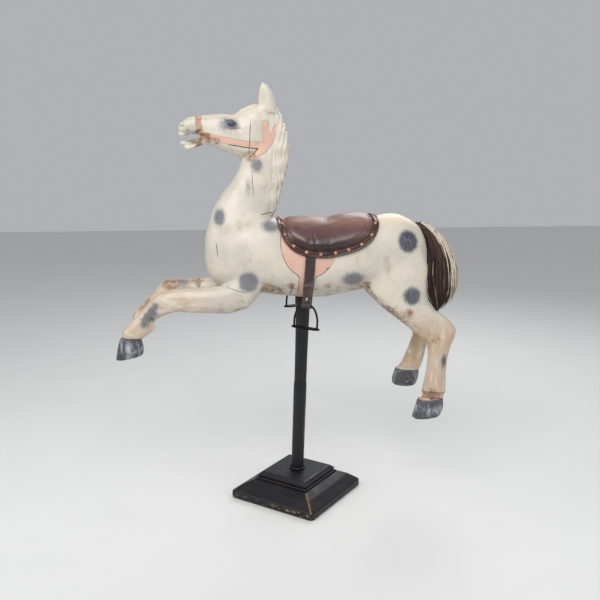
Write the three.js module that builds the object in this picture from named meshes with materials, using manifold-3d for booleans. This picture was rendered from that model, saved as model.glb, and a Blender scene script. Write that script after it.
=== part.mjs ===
// A carved and painted carousel horse on its display stand: a cream horse in full leap, carved as one,
// with a leather saddle pad nailed over its back, two stirrups on leather straps and a horsehair tail.
// A tapered black pole carries it on a square moulded base, which is turned under the horse.
// Units are millimetres, +Z is up and the horse faces -X, with its left side towards -Y.
// The origin is the middle of the base's underside.
import * as THREE from "three";
import Module from "manifold-3d";
import { mergeVertices } from "three/addons/utils/BufferGeometryUtils.js";

const wasm = await Module();
wasm.setup();

// ---- driving dimensions ----
const GAP = 0.35; // clearance between pieces that touch
const RAD = Math.PI / 180;

const base = {
  half: 183, // half the side of the lower board
  edge: 30, // height of the board's upright edge
  slopeTop: 68, // height where the board's bevel ends
  slopeHalf: 117, // half side there
  capHalf: 94, // half side of the upper block's flat top
  height: 97,
  turn: -37.9 * RAD, // how far the base is turned under the horse
};
const pole = { x: 3, sides: 16, footRadius: 24, topRadius: 26.5, top: 800, lean: 1.85 * RAD };
const collar = { radius: 30, bottom: 741 };
const saddle = {
  middle: 106, // where along the back the seat's middle lies
  front: 175, // from there to the seat's front and rear edges
  rear: 181,
  girth: 79 * RAD, // how far down the barrel each flap reaches
  fullness: 3.7, // squareness of the seat's outline
  flange: 3, // leather at the nailed edge
  stuffing: 25,
  trimWidth: 0.11, // share of the seat's radius that the trim covers
  trimThickness: 4.5,
  around: 36, // facets round the seat
};
const nail = { count: 24, first: 0.3, radius: 7, height: 3.6, clearance: 0.9 };
const strap = { halfWidth: 17.5, leather: 4, top: 937.5, free: 905, eye: 4.9 };
const stirrup = {
  barZ: { [-1]: 769, [1]: 790 }, // height of each bow's top bar; the right strap is buckled shorter
  halfWidth: 44,
  height: 80,
  wire: 3.8,
  twist: 30 * RAD, // the irons hang turned outwards
  side: 141, // distance from the horse's middle plane
  x: { [-1]: 23, [1]: 14 },
};

// ---- solids ----
function solidOf(geometry) {
  const bare = geometry.index ? geometry.toNonIndexed() : geometry.clone();
  bare.deleteAttribute("normal");
  bare.deleteAttribute("uv");
  const merged = mergeVertices(bare, 1e-3);
  return new wasm.Manifold(
    new wasm.Mesh({
      numProp: 3,
      vertProperties: merged.attributes.position.array,
      triVerts: new Uint32Array(merged.index.array),
    }),
  );
}

function geometryOf(solid) {
  const mesh = solid.getMesh();
  const geometry = new THREE.BufferGeometry();
  const places = new Float32Array(mesh.numVert * 3);
  for (let i = 0; i < mesh.numVert; i++)
    for (let k = 0; k < 3; k++)
      places[3 * i + k] = mesh.vertProperties[i * mesh.numProp + k];
  geometry.setAttribute("position", new THREE.BufferAttribute(places, 3));
  geometry.setIndex(new THREE.BufferAttribute(mesh.triVerts, 1));
  geometry.computeVertexNormals();
  return geometry;
}

function unionOf(solids) {
  return solids.reduce((whole, next) => whole.add(next));
}

// Rings of points, each with the same count, closed by a fan at either end.
function ringsSolid(rings) {
  const sides = rings[0].length;
  const places = [];
  const faces = [];
  rings.flat().forEach((p) => places.push(p.x, p.y, p.z));
  for (let r = 0; r + 1 < rings.length; r++)
    for (let i = 0; i < sides; i++) {
      const a = r * sides + i;
      const b = r * sides + ((i + 1) % sides);
      faces.push(a, b, b + sides, a, b + sides, a + sides);
    }
  const ends = [rings[0], rings.at(-1)];
  ends.forEach((ring, end) => {
    const middle = ring
      .reduce((sum, p) => sum.add(p), new THREE.Vector3())
      .divideScalar(sides);
    const hub = places.length / 3;
    const start = end * (rings.length - 1) * sides;
    places.push(middle.x, middle.y, middle.z);
    for (let i = 0; i < sides; i++) {
      const a = start + i;
      const b = start + ((i + 1) % sides);
      if (end) faces.push(a, b, hub);
      else faces.push(b, a, hub);
    }
  });
  const geometry = new THREE.BufferGeometry();
  geometry.setAttribute("position", new THREE.Float32BufferAttribute(places, 3));
  geometry.setIndex(faces);
  const solid = solidOf(geometry);
  if (solid.volume() > 0) return solid;
  rings.reverse();
  return ringsSolid(rings);
}

// A closed loop swept through sections that each hold the same count of points.
function loopSolid(sections) {
  const size = sections[0].length;
  const faces = [];
  sections.forEach((_, s) => {
    const here = s * size;
    const next = ((s + 1) % sections.length) * size;
    for (let k = 0; k < size; k++) {
      const other = (k + 1) % size;
      faces.push(here + k, here + other, next + other, here + k, next + other, next + k);
    }
  });
  const places = sections.flat().flatMap((p) => [p.x, p.y, p.z]);
  const geometry = new THREE.BufferGeometry();
  geometry.setAttribute("position", new THREE.Float32BufferAttribute(places, 3));
  geometry.setIndex(faces);
  const solid = solidOf(geometry);
  return solid.volume() > 0 ? solid : loopSolid(sections.reverse());
}

const power = (value, exponent) => Math.sign(value) * Math.abs(value) ** exponent;

// ---- ribs: the horse is lofted over ovals that stand between two points of its outline ----
// Each rib is [x and z of one outline point, x and z of the other, half width, middle's y, bias].
// A positive bias makes the oval widest towards its second point.
function curvesOf(ribs, grow) {
  const first = [];
  const second = [];
  const rest = [];
  for (const [ax, az, bx, bz, half, y = 0, bias = 0] of ribs) {
    const a = new THREE.Vector3(ax, y, az);
    const b = new THREE.Vector3(bx, y, bz);
    const out = a.clone().sub(b).normalize().multiplyScalar(grow);
    first.push(a.add(out));
    second.push(b.sub(out));
    rest.push(new THREE.Vector3(half + grow, bias, 0));
  }
  return [first, second, rest].map((points) => new THREE.CatmullRomCurve3(points, false, "catmullrom"));
}

function loft(ribs, { sides = 16, perSpan = 1, squareness = 2.3, grow = 0, locks = 0 } = {}) {
  const [first, second, rest] = curvesOf(ribs, grow);
  const count = (ribs.length - 1) * perSpan;
  const rings = [];
  for (let r = 0; r <= count; r++) {
    const a = first.getPoint(r / count);
    const b = second.getPoint(r / count);
    const { x: half, y: bias } = rest.getPoint(r / count);
    const middle = a.clone().add(b).divideScalar(2);
    const arm = a.clone().sub(b).divideScalar(2);
    const wave = 1 + locks * Math.cos(Math.PI * r); // every second ring is pinched between two locks
    const ring = [];
    for (let i = 0; i < sides; i++) {
      const angle = (i / sides) * 2 * Math.PI;
      const along = power(Math.cos(angle), 2 / squareness);
      const across = power(Math.sin(angle), 2 / squareness) * (1 - bias * along);
      const sideways = new THREE.Vector3(0, half * across * wave, 0);
      ring.push(middle.clone().addScaledVector(arm, along).add(sideways));
    }
    rings.push(ring);
  }
  return ringsSolid(rings);
}

// An egg with its own three radii, turned about Y.
function egg([x, y, z], [rx, ry, rz], turn = 0, detail = 4) {
  const geometry = new THREE.SphereGeometry(1, detail * 2, detail);
  geometry.scale(rx, ry, rz);
  geometry.rotateY(turn);
  geometry.translate(x, y, z);
  return solidOf(geometry);
}

const mirrored = (ribs, side) =>
  ribs.map(([ax, az, bx, bz, half, y = 0, bias = 0]) => [ax, az, bx, bz, half, y * side, bias]);

// ---- the horse ----
const BARREL = [
  // back and belly, from the chest to the buttocks; every rib stands upright
  [-331, 1000, -331, 905, 36],
  [-321, 1030, -321, 866, 68],
  [-298, 1054, -298, 836, 92],
  [-252, 1070, -252, 810, 110],
  [-188, 1080, -188, 794, 122],
  [-120, 1081, -120, 793, 128],
  [-50, 1054, -50, 784, 130],
  [20, 1045, 20, 776, 131],
  [90, 1038, 90, 776, 131],
  [160, 1050, 160, 785, 129],
  [220, 1058, 220, 800, 128],
  [280, 1068, 280, 810, 127],
  [330, 1079, 330, 802, 125],
  [372, 1079, 372, 795, 119],
  [415, 1059, 415, 795, 104],
  [450, 1036, 450, 806, 82],
  [473, 992, 473, 826, 52],
  [482, 950, 482, 862, 24],
];
const NECK = [
  [-300, 940, -60, 990, 108],
  [-319, 1040, -88, 1072, 99, 0, -0.06],
  [-300, 1100, -77, 1108, 83, 0, -0.12],
  [-268, 1155, -62, 1160, 68, 0, -0.16],
  [-234, 1192, -46, 1202, 59, 0, -0.18],
  [-207, 1238, -35, 1248, 53, 0, -0.18],
  [-192, 1285, -31, 1300, 50, 0, -0.16],
  [-170, 1330, -33, 1350, 47, 0, -0.12],
  [-145, 1375, -48, 1395, 42],
  [-118, 1420, -68, 1440, 32],
];
const SKULL = [
  [-80, 1424, -78, 1352, 26],
  [-104, 1454, -110, 1306, 46],
  [-140, 1461, -152, 1277, 57, 0, 0.04],
  [-182, 1445, -198, 1278, 59, 0, 0.04],
  [-222, 1428, -243, 1297, 54, 0, 0.04],
  [-268, 1431, -281, 1314, 46, 0, 0.1],
  [-312, 1428, -318, 1326, 40, 0, 0.06],
  [-334, 1425, -338, 1338, 37],
];
const MUZZLE = [
  [-316, 1427, -316, 1352, 38],
  [-350, 1424, -348, 1362, 36],
  [-378, 1419, -374, 1363, 37],
  [-400, 1404, -398, 1364, 33],
  [-412, 1391, -410, 1370, 22],
];
const CHIN = [
  [-306, 1350, -310, 1327, 30],
  [-336, 1341, -338, 1322, 27],
  [-360, 1329, -360, 1312, 25],
  [-380, 1325, -378, 1303, 26],
  [-394, 1321, -392, 1309, 18],
];
const FORELOCK = [
  [-112, 1462, -112, 1440, 22],
  [-150, 1466, -150, 1440, 20],
  [-185, 1452, -185, 1430, 15],
  [-212, 1435, -212, 1420, 7],
];
const EAR = [
  [-136, 1440, -66, 1430, 15, -27],
  [-134, 1470, -74, 1466, 17, -29],
  [-132, 1498, -84, 1496, 14, -31],
  [-128, 1520, -99, 1520, 9, -33],
  [-122, 1538, -115, 1537, 3, -34],
];
const EAR_HOLLOW = [
  [-138, 1452, -112, 1450, 9, -41],
  [-139, 1476, -108, 1474, 11, -45],
  [-138, 1500, -110, 1500, 9, -46],
  [-131, 1520, -116, 1520, 4, -44],
];
const MANE = [
  // the lower edge of the mane on the near side, and the crest of the neck
  [-98, 1080, -76, 1086, 20, -32],
  [-108, 1130, -63, 1138, 28, -28],
  [-104, 1190, -45, 1196, 33, -21],
  [-98, 1250, -30, 1256, 33, -18],
  [-94, 1310, -26, 1316, 33, -17],
  [-86, 1362, -35, 1376, 33, -15],
  [-80, 1405, -50, 1416, 28, -11],
  [-86, 1440, -66, 1452, 20, -8],
];
const FORE_NEAR = [
  [-196, 930, -110, 860, 38, -66],
  [-222, 870, -132, 806, 46, -72],
  [-262, 838, -176, 752, 47, -76],
  [-300, 831, -248, 732, 43, -78],
  [-366, 827, -356, 738, 36, -80],
  [-446, 824, -436, 744, 31, -80],
  [-490, 817, -468, 736, 32, -80],
  [-520, 792, -490, 728, 31, -80],
  [-548, 760, -508, 716, 27, -80],
  [-578, 730, -520, 694, 27, -80],
  [-608, 704, -530, 668, 31, -80],
  [-627, 678, -548, 654, 33, -80],
  [-628, 656, -566, 648, 29, -80],
];
// The right foreleg is the left one's mirror image, drawn a little further up and back towards its foot.
const FORE_FAR = FORE_NEAR.map(([ax, az, bx, bz, half, y], i) => {
  const share = i / (FORE_NEAR.length - 1);
  const back = 20 * share ** 1.5;
  const up = 4 + 17 * share;
  return [ax + back, az + up, bx + back, bz + up, half, -y];
});
const HIND_NEAR = [
  [250, 930, 455, 975, 52, -58],
  [243, 862, 479, 884, 60, -64],
  [252, 800, 472, 818, 55, -72],
  [290, 757, 476, 766, 49, -78],
  [338, 719, 500, 734, 43, -81],
  [388, 680, 534, 713, 38, -82],
  [430, 646, 566, 686, 34, -82],
  [456, 626, 586, 656, 33, -82],
  [474, 606, 582, 630, 31, -82],
  [480, 580, 568, 598, 29, -82],
  [481, 536, 556, 548, 27, -82],
  [475, 486, 553, 492, 27, -82],
  [466, 440, 554, 436, 29, -82],
  [462, 420, 556, 416, 29, -82],
];
const HIND_NEAR_PASTERN = [
  [470, 426, 546, 424, 25, -82],
  [468, 408, 545, 404, 25, -82],
  [460, 388, 543, 392, 28, -82],
];
const HIND_FAR = [
  [250, 930, 455, 975, 52, 58],
  [240, 866, 479, 890, 60, 64],
  [246, 806, 470, 828, 55, 72],
  [280, 764, 468, 782, 49, 78],
  [326, 728, 486, 752, 43, 81],
  [372, 692, 514, 730, 38, 82],
  [412, 660, 542, 700, 34, 82],
  [438, 640, 562, 672, 33, 82],
  [458, 618, 558, 644, 31, 82],
  [464, 596, 540, 612, 29, 82],
  [452, 562, 524, 570, 27, 82],
  [434, 516, 512, 512, 27, 82],
  [416, 478, 500, 466, 29, 82],
];
const HIND_FAR_PASTERN = [
  [420, 486, 500, 470, 28, 82],
  [408, 470, 489, 460, 26, 82],
  [400, 456, 487, 446, 28, 82],
];
const HOOVES = [
  // coronet, wall and sole of each hoof, from its toe to its heel
  [
    [-637, 652, -563, 648, 31, -80],
    [-644, 628, -557, 630, 35, -80],
    [-650, 600, -554, 610, 38, -80],
    [-655, 573, -556, 592, 40, -80],
  ],
  [
    [-608, 684, -550, 690, 31, 80],
    [-602, 668, -540, 692, 35, 80],
    [-592, 650, -532, 692, 38, 80],
    [-580, 634, -522, 692, 39, 80],
  ],
  [
    [448, 390, 544, 396, 32, -82],
    [442, 368, 548, 376, 37, -82],
    [436, 344, 546, 356, 41, -82],
    [428, 318, 534, 328, 42, -82],
  ],
  [
    [398, 466, 492, 460, 31, 82],
    [392, 444, 492, 440, 36, 82],
    [386, 422, 488, 420, 40, 82],
    [386, 400, 478, 398, 41, 82],
  ],
];
const EYE = { x: -231, y: 45, z: 1398, radius: 15 };

function head(grow) {
  const shapes = [
    loft(SKULL, { sides: 14, squareness: 2.6, grow }),
    loft(MUZZLE, { sides: 12, squareness: 2.5, grow }),
    loft(CHIN, { sides: 10, squareness: 2.5, grow }),
    loft(FORELOCK, { sides: 8, grow }),
    egg([-364, 0, 1338], [40 + grow, 16 + grow, 5 + grow], -14 * RAD), // tongue
  ];
  for (const side of [-1, 1]) {
    shapes.push(loft(mirrored(EAR, -side), { sides: 10, grow }));
    const brow = [30, 17, 10].map((radius) => radius + grow);
    const nostrilWing = [17, 13, 13].map((radius) => radius + grow);
    shapes.push(egg([EYE.x - 2, side * 38, 1413], brow, 14 * RAD));
    shapes.push(egg([-394, side * 22, 1390], nostrilWing, 30 * RAD));
  }
  return unionOf(shapes);
}

// A row of carved front teeth along a jaw, as one half-ring each.
function teeth(z, height, front) {
  const arch = [];
  const places = 5;
  for (let i = 0; i < places; i++) {
    const angle = ((i + 0.5) / places) * Math.PI;
    const tooth = new THREE.BoxGeometry(8.6, 9, height);
    tooth.rotateZ(angle - Math.PI / 2);
    tooth.translate(front + 14 - 15 * Math.sin(angle), 19 * Math.cos(angle), z);
    arch.push(solidOf(tooth));
  }
  const gum = new THREE.CylinderGeometry(1, 1, height - 4, 12);
  gum.rotateX(Math.PI / 2);
  gum.scale(14, 18, 1);
  gum.translate(front + 15, 0, z);
  return unionOf([...arch, solidOf(gum)]);
}

function horseBody(grow = 0) {
  return unionOf([
    egg([-528, -80, 688], [20 + grow, 15 + grow, 16 + grow]), // tuft behind the near fetlock
    loft(BARREL, { sides: 22, grow }),
    loft(NECK, { sides: 14, grow }),
    head(grow),
    loft(MANE, { sides: 8, perSpan: 2, squareness: 3, locks: 0.09, grow }),
    ...[FORE_NEAR, FORE_FAR].map((leg) => loft(leg, { sides: 10, grow })),
    ...[HIND_NEAR, HIND_FAR].map((leg) => loft(leg, { sides: 10, grow })),
    ...[HIND_NEAR_PASTERN, HIND_FAR_PASTERN].map((pastern) => loft(pastern, { sides: 10, grow })),
    ...HOOVES.map((hoof) => loft(hoof, { sides: 12, squareness: 2.4, grow })),
  ]);
}

function poleTurned(geometry) {
  geometry.rotateX(Math.PI / 2);
  geometry.translate(0, 0, -base.height);
  geometry.rotateY(pole.lean);
  geometry.translate(pole.x, 0, base.height);
  return geometry;
}

function horse() {
  const carved = horseBody()
    .add(teeth(1363, 16, -408))
    .add(teeth(1332, 14, -402));
  const cuts = [];
  for (const side of [-1, 1]) {
    cuts.push(loft(mirrored(EAR_HOLLOW, -side), { sides: 8 }));
    cuts.push(egg([-402, side * 32, 1388], [7, 8, 4.5], 40 * RAD, 5)); // nostril
  }
  const socketDepth = pole.top - base.height + 2 * GAP;
  const socketRadius = pole.topRadius + GAP;
  const socket = new THREE.CylinderGeometry(socketRadius, socketRadius, socketDepth, pole.sides);
  socket.translate(0, socketDepth / 2 + base.height, 0);
  cuts.push(solidOf(poleTurned(socket)));
  const eyes = [-1, 1].map((side) => egg([EYE.x, side * EYE.y, EYE.z], [EYE.radius, 8, 11], 8 * RAD, 5));
  return unionOf([carved.subtract(unionOf(cuts)), ...eyes]);
}

// ---- stand ----
// A square moulding with worn corners, from rows of [half side, height, corner radius].
function squareMoulding(profile) {
  const corner = [0, 1, 2]; // three points round each corner
  const rings = profile.map(([half, z, radius]) =>
    [0, 1, 2, 3].flatMap((quarter) =>
      corner.map((i) => {
        const angle = (quarter + i / 2) * (Math.PI / 2);
        const square = (quarter + 0.5) * (Math.PI / 2);
        const reach = (half - radius) * Math.SQRT2;
        const x = reach * Math.cos(square) + radius * Math.cos(angle);
        const y = reach * Math.sin(square) + radius * Math.sin(angle);
        return new THREE.Vector3(x, y, z).applyAxisAngle(new THREE.Vector3(0, 0, 1), base.turn);
      }),
    ),
  );
  return ringsSolid(rings);
}

function plinth() {
  return squareMoulding([
    [base.half - 3, 0, 12],
    [base.half, 4, 14],
    [base.half, base.edge - 4, 14],
    [base.half - 4, base.edge, 12],
    [base.slopeHalf + 30, 54, 5],
    [base.slopeHalf, base.slopeTop, 3],
  ]);
}

function cap() {
  const foot = base.slopeTop + GAP;
  return squareMoulding([
    [112, foot, 3],
    [115, foot + 3, 3],
    [112, foot + 7, 3],
    [102, foot + 8, 2],
    [102, foot + 11, 2],
    [110, foot + 13, 3],
    [110, foot + 17, 3],
    [103, foot + 20, 3],
    [99, foot + 25, 3],
    [base.capHalf, base.height, 3],
  ]);
}

// Cuts a leaning shape off level, just clear of the base's top.
function standing(geometry) {
  const floor = new THREE.BoxGeometry(4 * base.capHalf, 4 * base.capHalf, 40);
  floor.translate(0, 0, base.height + GAP - 20);
  return solidOf(poleTurned(geometry)).subtract(solidOf(floor));
}

function poleSolid() {
  const profile = [
    [0, base.height - 5],
    [pole.footRadius, base.height - 5],
    [pole.footRadius + 0.6, 250],
    [pole.footRadius + 1.2, 430],
    [pole.footRadius + 0.8, 441],
    [pole.footRadius - 0.6, 446],
    [pole.footRadius, 560],
    [pole.footRadius + 1.4, 660],
    [pole.topRadius, 730],
    [pole.topRadius, pole.top],
    [0, pole.top],
  ];
  return standing(new THREE.LatheGeometry(profile.map(([r, z]) => new THREE.Vector2(r, z)), pole.sides));
}

// A ring of section [inner radius, outer radius] between two heights round the pole.
function ringOnPole(inner, outer, low, high, bulge) {
  const profile = [
    [inner, low],
    [outer - bulge, low],
    [outer, low + (high - low) * 0.3],
    [outer, low + (high - low) * 0.7],
    [outer - bulge, high],
    [inner, high],
    [inner, low],
  ];
  return standing(new THREE.LatheGeometry(profile.map(([r, z]) => new THREE.Vector2(r, z)), pole.sides));
}

// ---- saddle ----
// The barrel's oval at a place along the back.
function barrelAt(x) {
  const [top, bottom, rest] = curvesOf(BARREL, 0);
  let low = 0;
  let high = 1;
  for (let i = 0; i < 30; i++) {
    const t = (low + high) / 2;
    if (top.getPoint(t).x < x) low = t;
    else high = t;
  }
  const a = top.getPoint(low);
  const b = bottom.getPoint(low);
  return { middle: (a.z + b.z) / 2, tall: (a.z - b.z) / 2, wide: rest.getPoint(low).x };
}

// A point on the horse's back: x along it, angle down from the top (positive to the left), raised off it.
function onBack(x, angle, raised) {
  const { middle, tall, wide } = barrelAt(x);
  const exponent = 2 / 2.3;
  const y = -wide * power(Math.sin(angle), exponent);
  const z = middle + tall * power(Math.cos(angle), exponent);
  const out = new THREE.Vector3(0, -Math.sin(angle) / wide, Math.cos(angle) / tall).normalize();
  return new THREE.Vector3(x, y, z).addScaledVector(out, raised);
}

// Seat coordinates: share is 0 in the middle of the seat and 1 at its edge, turn goes round it.
function onSeat(share, turn, raised) {
  const exponent = 2 / saddle.fullness;
  const reach = Math.cos(turn) > 0 ? saddle.front : saddle.rear;
  const x = saddle.middle - reach * share * power(Math.cos(turn), exponent);
  const angle = saddle.girth * share * power(Math.sin(turn), exponent);
  return onBack(x, angle, raised);
}

function padThickness(share) {
  const inner = Math.min(1, share / (1 - saddle.trimWidth));
  return saddle.flange + saddle.stuffing * (1 - inner ** 6) ** 0.6;
}

function saddlePad() {
  const { around, trimWidth } = saddle;
  const ringAt = (share, raised) =>
    Array.from({ length: around }, (_, i) => onSeat(share, (i / around) * 2 * Math.PI, raised));
  return ringsSolid([
    ...[0.35, 0.7, 0.82, 1 - trimWidth, 1].map((share) => ringAt(share, padThickness(share))),
    ringAt(1, -14),
    ringAt(0.5, -14),
  ]);
}

// The trim's loop: a flat band of leather laid over the pad's nailed flange and turned down at its edge.
function saddleTrim() {
  const inner = 1 - saddle.trimWidth;
  const foot = saddle.flange + GAP;
  const crown = foot + saddle.trimThickness;
  const section = [
    [inner, foot],
    [1.003, foot],
    [1.003, 1],
    [1.018, 1],
    [1.01, crown],
    [inner + 0.01, crown],
  ];
  const sections = Array.from({ length: saddle.around }, (_, i) =>
    section.map(([share, raised]) => onSeat(share, (i / saddle.around) * 2 * Math.PI, raised)),
  );
  return loopSolid(sections);
}

// Places for the nails, evenly spaced along the middle of the trim.
function nailTurns() {
  const share = 1 - saddle.trimWidth / 2;
  const fine = 720;
  const lengths = [0];
  let last = onSeat(share, 0, 0);
  for (let i = 1; i <= fine; i++) {
    const next = onSeat(share, (i / fine) * 2 * Math.PI, 0);
    lengths.push(lengths.at(-1) + next.distanceTo(last));
    last = next;
  }
  return Array.from({ length: nail.count }, (_, i) => {
    const wanted = ((i + nail.first) / nail.count) * lengths.at(-1);
    const at = lengths.findIndex((length) => length >= wanted);
    return (at / fine) * 2 * Math.PI;
  });
}

function nailAt(turn) {
  const share = 1 - saddle.trimWidth / 2;
  const crown = saddle.flange + saddle.trimThickness + GAP;
  const around = onSeat(share, turn + 0.05, crown).sub(onSeat(share, turn - 0.05, crown));
  const inwards = onSeat(share - 0.02, turn, crown).sub(onSeat(share + 0.02, turn, crown));
  const out = around.cross(inwards).normalize();
  if (out.z < 0) out.negate();
  const foot = onSeat(share, turn, crown).addScaledVector(out, nail.clearance);
  const dome = [
    [0, 0],
    [nail.radius, 0],
    [0.66 * nail.radius, 0.75 * nail.height],
    [0, nail.height],
  ];
  const geometry = new THREE.LatheGeometry(dome.map(([r, z]) => new THREE.Vector2(r, z)), 8);
  geometry.applyQuaternion(new THREE.Quaternion().setFromUnitVectors(new THREE.Vector3(0, 1, 0), out));
  geometry.translate(foot.x, foot.y, foot.z);
  return geometry;
}

// ---- stirrups ----
// Places down the strap: [height, x, distance out, twist, half thickness].
function strapStations(side) {
  const half = strap.leather / 2;
  const lieAt = (z) => {
    const { middle, tall, wide } = barrelAt(36);
    const cosine = Math.min(1, Math.max(0, (z - middle) / tall));
    const sine = (1 - cosine ** 2.3) ** (1 / 2.3);
    return wide * sine + half + GAP + 0.3;
  };
  const doubled = half * 2 + 0.4;
  const bar = stirrup.barZ[side];
  const end = stirrup.x[side];
  const drift = (36 - end) / (strap.free - bar);
  const xAt = (z) => end + drift * (z - bar);
  return [
    [strap.top, 38, lieAt(strap.top), 0, half],
    [strap.free, 36, lieAt(strap.free), 0, half],
    [bar + 94, xAt(bar + 94), 134.6, 3 * RAD, half],
    [bar + 77, xAt(bar + 77), 136, 13 * RAD, half],
    [bar + 71, xAt(bar + 71), 136.6, 16 * RAD, doubled],
    [bar + 45, xAt(bar + 45), 139.4, stirrup.twist, doubled],
    [bar + 21, xAt(bar + 21), stirrup.side, stirrup.twist, doubled],
    [bar + 5, end, stirrup.side, stirrup.twist, doubled + 1],
  ];
}

function strapSolid(side) {
  const rings = strapStations(side).map(([z, x, out, twist, half]) => {
    const along = new THREE.Vector3(Math.cos(twist), side * Math.sin(twist), 0);
    const across = new THREE.Vector3(-Math.sin(twist), side * Math.cos(twist), 0);
    const middle = new THREE.Vector3(x, side * out, z);
    return [
      [-1, -1],
      [1, -1],
      [1, 1],
      [-1, 1],
    ].map(([i, j]) =>
      middle.clone().addScaledVector(along, i * strap.halfWidth).addScaledVector(across, j * half),
    );
  });
  return ringsSolid(rings).add(strapEye(side, 9, 0)).subtract(strapEye(side, strap.eye, 4));
}

// The loop at the strap's end, or the hole through it.
function strapEye(side, radius, extra) {
  const barrel = new THREE.CylinderGeometry(radius, radius, 2 * (strap.halfWidth + extra), 10);
  barrel.rotateZ(Math.PI / 2);
  return solidOf(inStirrup(barrel, side));
}

// Puts a shape made round the bow's top bar, with the bow in the XZ plane, where the stirrup hangs.
function inStirrup(geometry, side) {
  geometry.rotateZ(side * stirrup.twist);
  geometry.rotateY(3 * RAD);
  geometry.translate(stirrup.x[side], side * stirrup.side, stirrup.barZ[side]);
  return geometry;
}

function stirrupIron(side) {
  const half = stirrup.halfWidth;
  const arch = [
    [-half, -stirrup.height],
    [-half, -0.58 * stirrup.height],
    [-0.87 * half, -0.3 * stirrup.height],
    [-0.68 * half, -0.1 * stirrup.height],
    [-0.48 * half, -0.4],
    [-0.2 * half, 0],
  ];
  const bend = [...arch, ...arch.map(([x, z]) => [-x, z]).reverse()];
  const path = new THREE.CatmullRomCurve3(bend.map(([x, z]) => new THREE.Vector3(x, 0, z)));
  const section = new THREE.Shape(
    new THREE.EllipseCurve(0, 0, stirrup.wire, stirrup.wire, 0, 2 * Math.PI).getPoints(6).slice(0, -1),
  );
  const bow = new THREE.ExtrudeGeometry(section, { steps: 20, extrudePath: path });
  const tread = new THREE.Shape();
  const reach = half + 9;
  tread.moveTo(-reach, -5).lineTo(-half + 8, -13).lineTo(half - 8, -13).lineTo(reach, -5);
  tread.lineTo(reach, 5).lineTo(half - 8, 13).lineTo(-half + 8, 13).lineTo(-reach, 5);
  const plate = new THREE.ExtrudeGeometry(tread, { depth: 5.5, bevelEnabled: false });
  plate.translate(0, 0, -stirrup.height - 2.5);
  return solidOf(inStirrup(bow, side)).add(solidOf(inStirrup(plate, side)));
}

function rivet(side) {
  const dome = [
    [0, 0],
    [6.5, 0],
    [6.5, 1],
    [3.4, 2.6],
    [0, 3],
  ];
  const geometry = new THREE.LatheGeometry(dome.map(([r, z]) => new THREE.Vector2(r, z)), 8);
  if (side < 0) geometry.rotateX(Math.PI);
  const out = strap.leather + 0.4 + 3 * GAP;
  geometry.translate(0, side * out, 0);
  geometry.rotateZ(side * stirrup.twist);
  geometry.translate(stirrup.x[side] + 2.2, side * 141, stirrup.barZ[side] + 25);
  return geometry;
}

// ---- tail ----
const TAIL = [
  // the side away from the horse, and the side against it
  [462, 1050, 441, 1034, 12],
  [486, 1040, 452, 1016, 20],
  [528, 1012, 472, 980, 26],
  [566, 972, 478, 934, 30],
  [596, 920, 478, 884, 33],
  [614, 868, 474, 836, 33],
  [616, 820, 478, 786, 31],
  [602, 772, 490, 750, 28],
  [572, 726, 512, 728, 20],
  [552, 704, 536, 712, 9],
];

// ---- assembly ----
const paints = {
  cream: new THREE.MeshStandardMaterial({ color: 0xe6dfcc, roughness: 0.5 }),
  leather: new THREE.MeshStandardMaterial({ color: 0x5a3328, roughness: 0.4 }),
  trim: new THREE.MeshStandardMaterial({ color: 0x2a1816, roughness: 0.45 }),
  copper: new THREE.MeshStandardMaterial({ color: 0xb87a58, roughness: 0.35, metalness: 0.9 }),
  hair: new THREE.MeshStandardMaterial({ color: 0x33221b, roughness: 0.6 }),
  black: new THREE.MeshStandardMaterial({ color: 0x17171a, roughness: 0.45 }),
  iron: new THREE.MeshStandardMaterial({ color: 0x101010, roughness: 0.5, metalness: 0.6 }),
  steel: new THREE.MeshStandardMaterial({ color: 0xb8b4ae, roughness: 0.35, metalness: 0.9 }),
};

const carousel = new THREE.Group();

function place(name, shape, paint) {
  const mesh = new THREE.Mesh(shape.isBufferGeometry ? shape : geometryOf(shape), paint);
  mesh.name = name;
  carousel.add(mesh);
}

const clearHorse = horseBody(GAP);
place("horse", horse(), paints.cream);
place("saddle_pad", saddlePad().subtract(clearHorse), paints.leather);
place("saddle_trim", saddleTrim().subtract(clearHorse), paints.trim);
nailTurns().forEach((turn, i) => {
  place(`saddle_nail_${String(i + 1).padStart(2, "0")}`, nailAt(turn), paints.copper);
});
for (const [label, side] of [
  ["left", -1],
  ["right", 1],
]) {
  place(`stirrup_strap_${label}`, strapSolid(side), paints.trim);
  place(`strap_rivet_${label}`, rivet(side), paints.steel);
  place(`stirrup_iron_${label}`, stirrupIron(side), paints.iron);
}
place("tail", loft(TAIL, { sides: 12 }).subtract(clearHorse), paints.hair);
place("pole", poleSolid(), paints.black);
place(
  "pole_collar",
  ringOnPole(pole.topRadius + GAP, collar.radius, collar.bottom, 790, 1.5).subtract(clearHorse),
  paints.trim,
);
place(
  "pole_foot_ring",
  ringOnPole(pole.footRadius + GAP + 0.2, pole.footRadius + 8, base.height - 3, base.height + 10, 3),
  paints.black,
);
place("base_cap", cap(), paints.black);
place("base_plinth", plinth(), paints.black);

export default carousel;
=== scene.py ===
"""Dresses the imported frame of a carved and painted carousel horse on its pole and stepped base."""

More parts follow.
